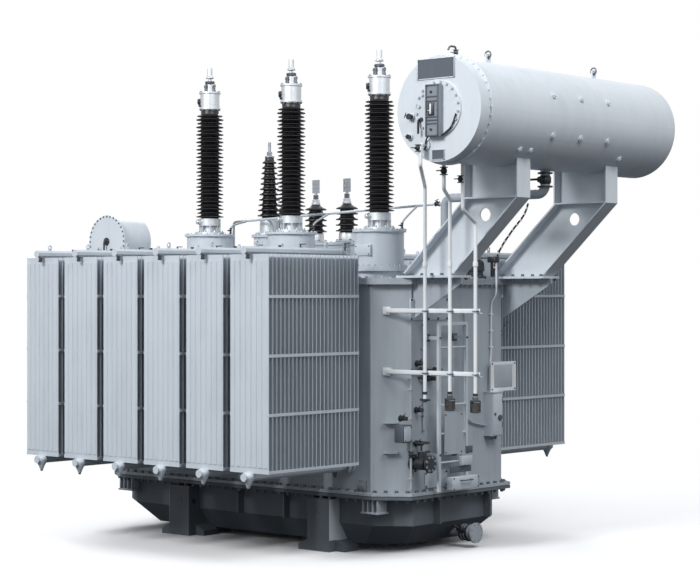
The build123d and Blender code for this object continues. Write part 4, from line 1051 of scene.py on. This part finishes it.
COCK = (DRUM[0], -1.5)
cock = bmesh.new()
turned(cock, disc(0.034, 0, 0.018), at(*COCK, 5.012), UP, 20)
gate_valve(cock, at(*COCK, 5.052), UP, (0.4, -1.0, 0.0), 0.03)
spout = [(-1.5, 5.07), (-1.5, 5.11), (-1.54, 5.11), (-1.6, 5.11), (-1.62, 5.07)]
tube(cock, [at(DRUM[0], y, z) for y, z in spout], 0.01)
piece("air_cock", cock, dull_steel)

# %% [markdown]
# The gas relay is a cast box in the rising pipe. It has a window to see the gas, a lid with a
# terminal box, a test cock, and a butterfly valve on each side so that it can be taken out.

# %% Gas relay
RELAY_X, RELAY_LEVEL = 2.78, 3.747
WINDOW_LEVEL = 3.745

bolts, windows, fittings = fresh(3)
for x, way in ((2.643, -1), (2.917, 1)):
    bolt_ring(bolts, at(x, 0, RELAY_LEVEL), (way, 0, 0), 0.076, 8, 0.022, 22.5)
bolt_ring(bolts, at(RELAY_X, 0, 3.904), UP, 0.052, 6, 0.016)
for way in SIDES:
    out = (0, way, 0)
    rim = [(0, 0), (0.062, 0), (0.062, 0.012), (0.05, 0.016), (0.046, 0.01), (0, 0.01)]
    turned(fittings, rim, at(RELAY_X, way * 0.095, WINDOW_LEVEL), out, 28)
    bolt_ring(bolts, at(RELAY_X, way * 0.107, WINDOW_LEVEL), out, 0.056, 6, 0.012)
    turned(windows, disc(0.044, 0, 0.006), at(RELAY_X, way * 0.102, WINDOW_LEVEL), out, 28)
brick(fittings, at(2.735, -0.155, 3.852), at(2.825, -0.055, 3.925), 0.006)
small_valve(fittings, at(2.84, -0.03, 3.93), 0.022)
gate_valve(fittings, at(2.56, 0.0, RELAY_LEVEL), TO_LADDER, (0.0, -1.0, 0.0), 0.07)
gate_valve(fittings, at(1.925, 0.0, 3.686), TO_LADDER, (0.0, -0.3, 1.0), 0.026)
# The big dark valve under the drum is partly real and partly painted shade, for the shadow that the
# conservator casts on the elbow of the rising pipe.
gate_valve(fittings, at(DRUM[0], 0.0, 3.89), UP, (0.0, -1.0, 0.0), 0.078)
piece("relay_fittings", fittings, valve_enamel)
piece("relay_windows", windows, acrylic)
piece("relay_bolts", bolts, dull_steel)

# %% [markdown]
# Two of the dropping pipes end in a breather. Air that the conservator draws in passes through
# drying grains in a clear cylinder, between two caps that four thin rods hold together.

# %% Breathers
SERVICE_X, SERVICE_Y = (2.55, 2.87, 3.19), -1.001
BREATHERS = [(SERVICE_X[1], 1.674), (SERVICE_X[2], 1.665)]
BREATHER_HEIGHT = 0.13

grains, cylinders, caps = fresh(3)
for x, top in BREATHERS:
    low = top - BREATHER_HEIGHT
    foot = at(x, SERVICE_Y, 0)
    turned(grains, disc(0.044, low + 0.02, top - 0.03, 0.004), foot, steps=28)
    turned(cylinders, disc(0.049, low + 0.014, top - 0.014, 0.002), foot, steps=28)
    turned(
        caps,
        [(0, top - 0.018), (0.053, top - 0.018), (0.055, top - 0.015), (0.055, top - 0.006),
         (0.046, top), (0, top)],
        foot, steps=28,
    )
    turned(
        caps,
        [(0, low), (0.03, low), (0.046, low + 0.004), (0.055, low + 0.01), (0.055, low + 0.018),
         (0, low + 0.018)],
        foot, steps=28,
    )
    turned(caps, disc(0.034, top, top + 0.03), foot, steps=6)
    rod_low, rod_top = Vector((0, 0, low + 0.01)), Vector((0, 0, top - 0.006))
    for place in ring(foot, UP, 0.051, 4, 45):
        bar(caps, place + rod_low, place + rod_top, 0.003, 8)
piece("breather_grains", grains, drying_grains, ["breathers"])
piece("breather_cylinders", cylinders, acrylic)
piece("breather_caps", caps, dull_steel)

# %% [markdown]
# Three thin pipes drop from the conservator past the end wall: one to fill and drain it, and two to
# breathe. Each is bent from one length, so its route is a curve with two more points close to every
# bend, which keep the straight parts straight. They are clamped to two rails of angle steel.

# %% Service pipes
PIPE_RADIUS = 0.0185
RAIL_LEVELS = (1.916, 2.546)
RAIL_END = 3.225


def bent(corners, reach=0.07):
    """The control points of a pipe with a tight bend at each inner corner."""
    points = [corners[0]]
    for before, corner, after in zip(corners, corners[1:], corners[2:]):
        back = (before - corner).normalized() * reach
        on = (after - corner).normalized() * reach
        points += [corner + back, corner, corner + on]
    return points + [corners[-1]]


PIPE_ROUTES = [
    [at(2.55, SERVICE_Y, 1.64), at(2.55, SERVICE_Y, 3.812), at(3.18, -1.86, 3.942),
     at(3.18, -1.86, 4.15), at(3.18, -1.77, 4.15)],
    [at(2.87, SERVICE_Y, 1.674), at(2.87, SERVICE_Y, 3.67), at(3.105, -1.4, 3.745),
     at(3.105, -1.4, 4.04)],
    [at(3.19, SERVICE_Y, 1.665), at(3.19, SERVICE_Y, 3.428), at(3.23, -1.26, 3.548),
     at(3.23, -1.26, 4.0)],
]
pipes = bmesh.new()
for turns in PIPE_ROUTES:
    tube(pipes, bent(turns), PIPE_RADIUS)
for x in SERVICE_X:
    turned(pipes, disc(0.026, 0, 0.05, 0.003), at(x, SERVICE_Y, 2.99), steps=20)
piece("dropping_pipes", pipes, pipe_enamel, ["service_pipes"])

rails = bmesh.new()
for level in RAIL_LEVELS:
    start = at(2.01, -0.975, level - 0.025)
    brick(rails, start, at(RAIL_END, -0.967, level + 0.025))
    brick(rails, start, at(RAIL_END, -0.925, level - 0.017))
    brick(rails, at(1.96, -0.965, level - 0.04), at(2.06, -0.925, level + 0.04), 0.003)
piece("pipe_rails", rails, pipe_enamel, ["service_rails"])

# %% [markdown]
# A U-shaped bolt with two nuts holds each pipe to each rail. Low in each pipe is a six-sided union,
# and the first pipe ends in a cock with a bar to turn it.

# %% Pipe clamps
clamps, cocks = fresh(2)
for x, low in zip(SERVICE_X, (1.662, 1.674, 1.665)):
    for level in RAIL_LEVELS:
        route(
            clamps, 0.005, (x - 0.025, -0.955, level), (x - 0.025, -1.005, level),
            (x - 0.023, -1.024, level), (x, -1.03, level), (x + 0.023, -1.024, level),
            (x + 0.025, -1.005, level), (x + 0.025, -0.955, level),
        )
        for shift in (-0.025, 0.025):
            bolt(clamps, at(x + shift, -0.967, level), AWAY, 0.018)
    turned(cocks, disc(0.028, -0.014, 0.014, 0.003), at(x, SERVICE_Y, low + 0.052), steps=6)
bar(cocks, at(2.49, SERVICE_Y, 1.645), at(2.61, SERVICE_Y, 1.645), 0.012, 10)
turned(cocks, disc(0.026, -0.02, 0.016), at(2.55, SERVICE_Y, 1.64), steps=6)
piece("pipe_clamps", clamps, dull_steel)
piece("pipe_cocks", cocks, valve_enamel)

# %% [markdown]
# The walls of the tank are welded together at eight upright corners. Each corner is dressed round,
# and such a round edge catches the light as a thin bright line.

# %% Tank corners
WALL_HEIGHT = 2.154

corners = bmesh.new()
for (end, side), (x, y) in product(FOUR_CORNERS, ((2.184, 0.776), (1.847, 1.014))):
    foot = at(end * x, side * y, 0.662)
    bar(corners, foot, foot + Vector((0, 0, WALL_HEIGHT)), 0.014, 16)
piece("tank_corners", corners, tank_enamel)

# %% [markdown]
# The low filter valve is opened with a wheel. The rim is round bar bent to a ring, the four spokes
# run in to a hub, and a nut holds the hub on its stem.

# %% Filter valve
VALVE = (2.295, -0.74)
VALVE_LEVEL, WHEEL_LEVEL = 0.965, 1.181

hub = at(*VALVE, WHEEL_LEVEL)
wheel = bmesh.new()
hoop(wheel, hub, UP, 0.085, 0.0088)
bar(wheel, at(*VALVE, 1.091), at(*VALVE, 1.197), 0.01, 16)
turned(
    wheel,
    [(0, -0.009), (0.018, -0.009), (0.02, -0.004), (0.02, 0.004), (0.017, 0.009), (0, 0.009)],
    hub, steps=20,
)
for place in ring(hub, UP, 0.082, 4):
    bar(wheel, hub, place, 0.0055, 8)
turned(wheel, disc(0.014, 0.009, 0.019), hub, steps=6)
piece("filter_wheel", wheel, valve_enamel, ["filter_handwheel"])

bolts = bmesh.new()
bolt_ring(bolts, at(2.42, VALVE[1], VALVE_LEVEL), TO_LADDER, 0.072, 8, 0.022, 22.5)
bolt_ring(bolts, at(2.4, VALVE[1], VALVE_LEVEL), (-1, 0, 0), 0.074, 8, 0.02, 22.5)
bolt_ring(bolts, at(2.21, VALVE[1], VALVE_LEVEL), TO_LADDER, 0.078, 8, 0.022, 22.5)
bolt_ring(bolts, at(*VALVE, 1.091), UP, 0.029, 6, 0.014)
piece("filter_valve_bolts", bolts, hot_dip_zinc)

# %% [markdown]
# The drain pipe low on the tray ends in a stop valve with a round body. Its spindle points
# sideways, with a square end for a key, and its end flange is left free for a hose.

# %% Drain valve
drain = bmesh.new()
turned(
    drain,
    [(0, 2.112), (0.084, 2.112), (0.092, 2.118), (0.092, 2.134), (0.084, 2.14), (0.09, 2.165),
     (0.084, 2.194), (0.094, 2.2), (0.094, 2.22), (0.088, 2.226), (0, 2.226)],
    at(0, 0.2, 0.16), TO_LADDER, 36,
)
bar(drain, at(2.17, 0.2, 0.16), at(2.17, 0.055, 0.215), 0.036, 20)
bar(drain, at(2.17, 0.06, 0.213), at(2.17, -0.01, 0.24), 0.013, 12)
brick(drain, at(2.158, -0.034, 0.236), at(2.182, -0.004, 0.256), 0.002)
bolt_ring(drain, at(2.28, 0.2, 0.16), (-1, 0, 0), 0.07, 6, 0.018)
piece("drain_valve_body", drain, valve_enamel)

# %% [markdown]
# The end wall carries what a fitter reaches for from the ground: a small junction box, screwed
# cover plates, and a low box with a handle beside the ladder. Each row of the tables tells two
# opposite corners.

# %% End wall boxes
plates, boxes, screws = fresh(3)
for low, high, edge in (
    ((2.268, -0.99, 1.204), (2.276, -0.877, 1.358), 0.003),
    ((WALL, -0.811, 2.446), (2.212, -0.577, 2.673), 0.006),
    ((WALL, -0.52, 2.446), (2.206, -0.181, 2.673), 0.006),
    ((WALL, -0.563, 0.69), (2.206, -0.195, 0.86), 0.004),
    ((2.363, -0.406, 0.672), (2.455, 0.03, 0.806), 0.008),
    ((2.36, -0.19, 0.918), (2.412, -0.02, 1.012), 0.005),
):
    brick(plates, at(*low), at(*high), edge)
for low, high, edge in (
    ((2.15, -1.005, 1.19), (2.27, -0.862, 1.372), 0.006),
    ((2.363, 0.03, 0.68), (2.445, 0.05, 0.798), 0.004),
    ((2.357, -0.343, 0.842), (2.366, 0.017, 0.908), 0.003),
    ((2.366, -0.084, 1.036), (2.374, 0.032, 1.112), 0.002),
):
    brick(boxes, at(*low), at(*high), edge)
route(
    boxes, 0.007, (2.455, -0.286, 0.77), (2.49, -0.286, 0.77), (2.492, -0.28, 0.77),
    (2.492, -0.119, 0.77), (2.49, -0.113, 0.77), (2.455, -0.113, 0.77),
)
for across, x, ys, zs in (
    (0.014, 2.455, (-0.395, 0.02), (0.684, 0.794)),
    (0.022, 2.212, (-0.797, -0.591), (2.46, 2.659)),
    (0.022, 2.206, (-0.506, -0.35, -0.195), (2.46, 2.659)),
    (0.02, 2.206, (-0.548, -0.21), (0.705, 0.845)),
    (0.012, 2.276, (-0.98, -0.887), (1.214, 1.348)),
):
    bolt_grid(screws, TO_LADDER, across, (x,), ys, zs)
piece("end_wall_plates", plates, radiator_enamel)
piece("end_wall_boxes", boxes, plate_enamel)
piece("end_wall_screws", screws, dull_steel)

# %% [markdown]
# Small pipes leave the wall, run down it under clips and come back to it. The cocks between them
# are there to draw samples of the oil from several heights.

# %% End wall pipes and cocks
pipes, cocks = fresh(2)
route(
    pipes, 0.013, (WALL, -0.825, 1.84), (2.225, -0.825, 1.84), (2.225, -0.825, 1.8),
    (2.225, -0.825, 1.2), (2.225, -0.825, 0.72), (2.225, -0.825, 0.69), (WALL, -0.825, 0.69),
)
route(
    pipes, 0.01, (WALL, -0.6, 2.4), (2.216, -0.6, 2.4), (2.216, -0.6, 2.36),
    (2.216, -0.6, 1.6), (2.216, -0.6, 1.32), (2.216, -0.6, 1.29), (WALL, -0.6, 1.29),
)
route(
    pipes, 0.01, (WALL, 0.1, 2.56), (2.214, 0.1, 2.56), (2.214, 0.1, 2.52),
    (2.214, 0.1, 1.5), (2.214, 0.15, 1.36), (2.214, 0.4, 1.3), (2.214, 0.47, 1.3),
)
for level in (0.8, 1.1, 1.42, 1.72):
    brick(pipes, at(WALL, -0.85, level), at(2.242, -0.8, level + 0.016), 0.003)
for level in (1.45, 1.8, 2.15):
    brick(pipes, at(WALL, -0.62, level), at(2.23, -0.58, level + 0.014), 0.003)
for y, z in ((-0.961, 1.439), (-0.701, 1.513), (-0.701, 1.167), (-0.493, 1.835), (-0.688, 1.997)):
    bar(cocks, at(WALL, y, z), at(2.2, y, z), 0.034, 20)
    bar(cocks, at(2.2, y, z), at(2.232, y, z), 0.014, 12)
    gate_valve(cocks, at(2.254, y, z), TO_LADDER, (0.0, -0.4, 1.0), 0.024)
for y, z in ((-0.666, 1.932), (-0.56, 1.845), (-0.44, 1.925)):
    gate_valve(cocks, at(2.25, y, z), AWAY, (0.6, 0.0, 0.7), 0.03)
route(
    cocks, 0.012, (WALL, -0.78, 1.932), (2.25, -0.78, 1.932), (2.25, -0.74, 1.932),
    (2.25, -0.46, 1.926), (2.25, -0.36, 1.925), (2.25, -0.33, 1.925), (WALL, -0.33, 1.925),
)
route(
    cocks, THIN_PIPE, (WALL, -0.66, 1.845), (2.25, -0.66, 1.845), (2.25, -0.62, 1.845),
    (2.25, -0.48, 1.845), (2.25, -0.44, 1.845), (WALL, -0.44, 1.845),
)
gate_valve(cocks, at(2.225, -0.825, 1.06), UP, TO_LADDER, 0.03)
piece("end_wall_conduits", pipes, tank_enamel)
piece("sampling_cocks", cocks, valve_enamel)

# %% [markdown]
# The terminal box is a welded steel cabinet. A door fills its front, hung on two hinges and held by
# a quarter-turn lock, and the cables come in from below through a row of glands.

# %% Terminal box and board
door = bmesh.new()
brick(door, at(2.306, 0.478, 1.19), at(2.322, 0.632, 1.645), 0.004)
brick(door, at(WALL, 0.462, 1.648), at(2.33, 0.648, 1.66), 0.003)
piece("terminal_box_door", door, radiator_enamel)

metal = bmesh.new()
for level in (1.27, 1.54):
    bar(metal, at(2.318, 0.634, level), at(2.318, 0.634, level + 0.06), 0.008)
lock = [(0, 0), (0.017, 0), (0.017, 0.006), (0.01, 0.01), (0, 0.01)]
turned(metal, lock, at(2.322, 0.502, 1.42), TO_LADDER, 20)
for shift in (0.506, 0.556, 0.606):
    bar(metal, at(2.25, shift, 1.182), at(2.25, shift, 1.158), 0.018, 6)
    bar(metal, at(2.25, shift, 1.16), at(2.25, shift, 1.138), 0.012, 12)
bar(metal, at(2.322, 0.585, 1.379), at(2.34, 0.585, 1.379), 0.03, 20)
bolt_grid(metal, TO_LADDER, 0.016, (2.25,), (0.545, 0.96), (1.68, 1.96))
piece("terminal_box_metal", metal, dull_steel)

panel = bmesh.new()
brick(panel, at(2.246, 0.592, 1.7), at(2.251, 0.912, 1.94), 0.001)
piece("board_panel", panel, tank_enamel)

# %% [markdown]
# The ladder stands off the wall on four feet. Each foot has four small bolts into the wall and one
# through the side bar of the ladder, and four more hold the guard plate that shuts off the lower
# rungs.

# %% Ladder fittings
bolts = bmesh.new()
for side in SIDES:
    y = -0.282 + side * 0.23
    for level in (1.04, 2.26):
        brick(bolts, at(WALL, y - 0.04, level - 0.04), at(2.198, y + 0.04, level + 0.04))
        bolt_grid(
            bolts, TO_LADDER, 0.014, (2.198,), (y - 0.028, y + 0.028),
            (level - 0.028, level + 0.028),
        )
        bolt(bolts, at(2.363, y, level), TO_LADDER, 0.022)
bolt_grid(bolts, TO_LADDER, 0.016, (2.362,), (-0.415, -0.149), (1.06, 1.456))
piece("ladder_bolts", bolts, dull_steel)

# %% [markdown]
# On the cover stand a relief valve under its rain dome, a small switch box on a post, and the feet
# of the conservator brackets, each clamped down by a double row of bolts. A rigid conduit with pale
# clips follows the far bracket down. Another goes on down the end wall, and a small vent sits on
# the cut corner.

# %% Cover fittings
relief = bmesh.new()
turned(
    relief,
    [(0, COVER_TOP), (0.132, COVER_TOP), (0.135, 2.889), (0.135, 2.903), (0.131, 2.907),
     (0.1, 2.909), (0.096, 2.96), (0.112, 2.968), (0.112, 3.02), (0.104, 3.06), (0.08, 3.096),
     (0.044, 3.116), (0, 3.122)],
    at(2.1, 0.42, 0), steps=40,
)
bar(relief, at(2.205, 0.6, COVER_TOP), at(2.205, 0.6, 3.075), 0.016, 16)
brick(relief, at(2.17, 0.56, 3.06), at(2.28, 0.64, 3.13), 0.006)
piece("relief_valve", relief, valve_enamel)

bolts = bmesh.new()
bolt_ring(bolts, at(2.1, 0.42, 2.907), UP, 0.119, 8, 0.024, 22.5)
BRACKET_BOLTS = (2.15, 2.28, 2.41, 2.54, 2.67, 2.78)
CLEAR_OF_TANK = BRACKET_BOLTS[2:]
for y in (-0.745, 0.836):
    rows = (y - 0.13, y + 0.13)
    bolt_grid(bolts, UP, 0.034, BRACKET_BOLTS, rows, (2.909,), 0.6)
    bolt_grid(bolts, DOWN, 0.034, CLEAR_OF_TANK, rows, (COVER_TOP,), 0.6)
piece("bracket_bolts", bolts, dull_steel)

CABLE_Y = 0.712
cable_route = [
    (2.608, 3.696), (2.585, 3.63), (2.542, 3.554), (2.44, 3.455), (2.353, 3.359), (2.27, 3.26),
    (2.207, 3.162), (2.168, 3.06), (2.15, 2.98), (2.15, 2.89),
]
lead = bmesh.new()
tube(lead, [at(x, CABLE_Y, z) for x, z in cable_route], THIN_PIPE)
piece("bracket_conduit", lead, cable_sheath)

clips = bmesh.new()
CLIP_PLACES = [
    (2.59, 3.65), (2.56, 3.588), (2.512, 3.522), (2.462, 3.472), (2.408, 3.418), (2.352, 3.354),
    (2.302, 3.296), (2.258, 3.236), (2.214, 3.164), (2.184, 3.09), (2.162, 3.01), (2.151, 2.93),
]
for (x0, z0), (x1, z1) in zip(CLIP_PLACES, CLIP_PLACES[1:]):
    start = at(x0, CABLE_Y, z0)
    along = (at(x1, CABLE_Y, z1) - start).normalized()
    bar(clips, start - along * 0.011, start + along * 0.011, 0.0145, 12)
piece("conduit_clips", clips, pipe_enamel)

conduit = bmesh.new()
route(
    conduit, THIN_PIPE, (2.266, 0.6, 3.07), (2.266, 0.6, 2.96), (2.266, 0.6, 2.76),
    (2.262, 0.598, 2.7), (2.212, 0.59, 2.64), (2.206, 0.586, 2.56), (2.206, 0.582, 2.2),
    (2.206, 0.582, 2.06), (2.206, 0.555, 1.9), (2.206, 0.555, 1.655),
)
for level in (2.13, 2.31, 2.49):
    brick(conduit, at(2.189, 0.562, level), at(2.222, 0.604, level + 0.018), 0.003)
piece("wall_conduit", conduit, pipe_enamel)

vent = bmesh.new()
CORNER_WALL = (0.577, 0.817, 0.0)
bar(vent, at(2.018, 0.898, 2.275), at(2.032, 0.917, 2.275), 0.03, 20)
bar(vent, at(2.02, 0.9, 2.275), at(2.056, 0.951, 2.275), 0.013)
turned(vent, disc(0.022, 0, 0.034, 0.004), at(2.05, 0.943, 2.275), CORNER_WALL, 16)
bar(vent, at(2.06, 0.957, 2.275), at(2.056, 1.086, 2.4), 0.0075)
bar(vent, at(2.055, 1.076, 2.392), at(2.056, 1.098, 2.411), 0.015, 12, 0.004)
piece("corner_vent", vent, dull_steel)

# %% [markdown]
# Four jacking lugs sit under the joint flange near the corners and take the hydraulic jacks. Bare
# pads on the tank take the earthing straps.

# %% Lugs and pads
lugs = bmesh.new()
for end, side in FOUR_CORNERS:
    for x in (1.76, 1.825, 1.89, 1.955):
        brick(lugs, at(end * x - 0.008, side * 0.9, 0.455), at(end * x + 0.008, side * 1.05, 0.589))
    brick(lugs, at(end * 1.742, side * 0.88, 0.436), at(end * 1.973, side * 1.062, 0.456), 0.003)
piece("jacking_lugs", lugs, tank_enamel)

pads = bmesh.new()
for x, side in product((1.75, -1.75), SIDES):
    low, high = at(x - 0.045, side * 1.04 - 0.012, 0.69), at(x + 0.045, side * 1.04 + 0.012, 0.78)
    brick(pads, low, high, 0.003)
    for shift in (-0.022, 0.022):
        bolt(pads, at(x + shift, side * 1.052, 0.735), (0, side, 0), 0.022)
piece("earthing_pads", pads, hot_dip_zinc)

# %% [markdown]
# The cradle beams have an eye at each end, for hauling the machine on to its plinth. On the outer
# face of each beam end sits a pale plate cut to the outline of the beam. It is painted light: its
# pale paint stands for light falling on these faces of the dark base.

# %% Hauling eyes and cradle plates
eyes = bmesh.new()
for x, side in product((1.184, -0.916), SIDES):
    hoop(eyes, at(x, side * 1.094, 0.385), (0, side, 0), 0.04, 0.01)
piece("hauling_eyes", eyes, base_enamel)

PLATE_OUTLINE = [
    (1.098, 0.122), (1.098, 0.556), (0.938, 0.556), (0.938, 0.312), (0.782, 0.084), (0.782, 0.004),
    (0.985, 0.004), (0.985, 0.122),
]
# The pale plates are painted light on the outer faces of the cradle beams.
plates = bmesh.new()
for (face, way), side in product(((1.339, 1), (-1.071, -1)), SIDES):
    part = bmesh.new()
    sheet = part.faces.new([part.verts.new((0, side * y, z)) for y, z in PLATE_OUTLINE])
    grown = bmesh.ops.extrude_face_region(part, geom=[sheet])
    moved = [v for v in grown["geom"] if isinstance(v, bmesh.types.BMVert)]
    bmesh.ops.translate(part, vec=(way * 0.006, 0, 0), verts=moved)
    bmesh.ops.recalc_face_normals(part, faces=part.faces)
    join(plates, part, Matrix.Translation(at(face, 0, 0)))
piece("cradle_painted_light_plates", plates, radiator_enamel)

# %% [markdown]
# The small oil vessel at the other end has a bolted cover too, with a sight glass, a thin pipe and
# a cock.

# %% Vessel fittings
VESSEL = (-2.35, 3.34)


def by_vessel(across, y, rise):
    """A place told from the middle line of the vessel."""
    return at(VESSEL[0] + across, y, VESSEL[1] + rise)


bolts = bmesh.new()
bolt_ring(bolts, by_vessel(0, -0.9, 0), TO_VIEWER, 0.296, 32, 0.018)
bolt_ring(bolts, by_vessel(0, -0.882, 0), AWAY, 0.3, 32, 0.014)
piece("vessel_bolts", bolts, dull_steel)

fittings = bmesh.new()
turned(fittings, disc(0.046, 0, 0.014), by_vessel(0, -0.9, 0), TO_VIEWER, 24)
gate_valve(fittings, by_vessel(-0.1, -0.925, -0.12), TO_VIEWER, (-0.6, 0, 0.5), 0.022)
drop = [(-0.91, 0), (-0.945, 0), (-0.945, -0.05), (-0.945, -0.16), (-0.945, -0.2), (-0.905, -0.2)]
tube(fittings, [by_vessel(0, y, rise) for y, rise in drop], THIN_PIPE)
piece("vessel_gauge", fittings, valve_enamel)

# %% [markdown]
# All pieces hang on the machine now.
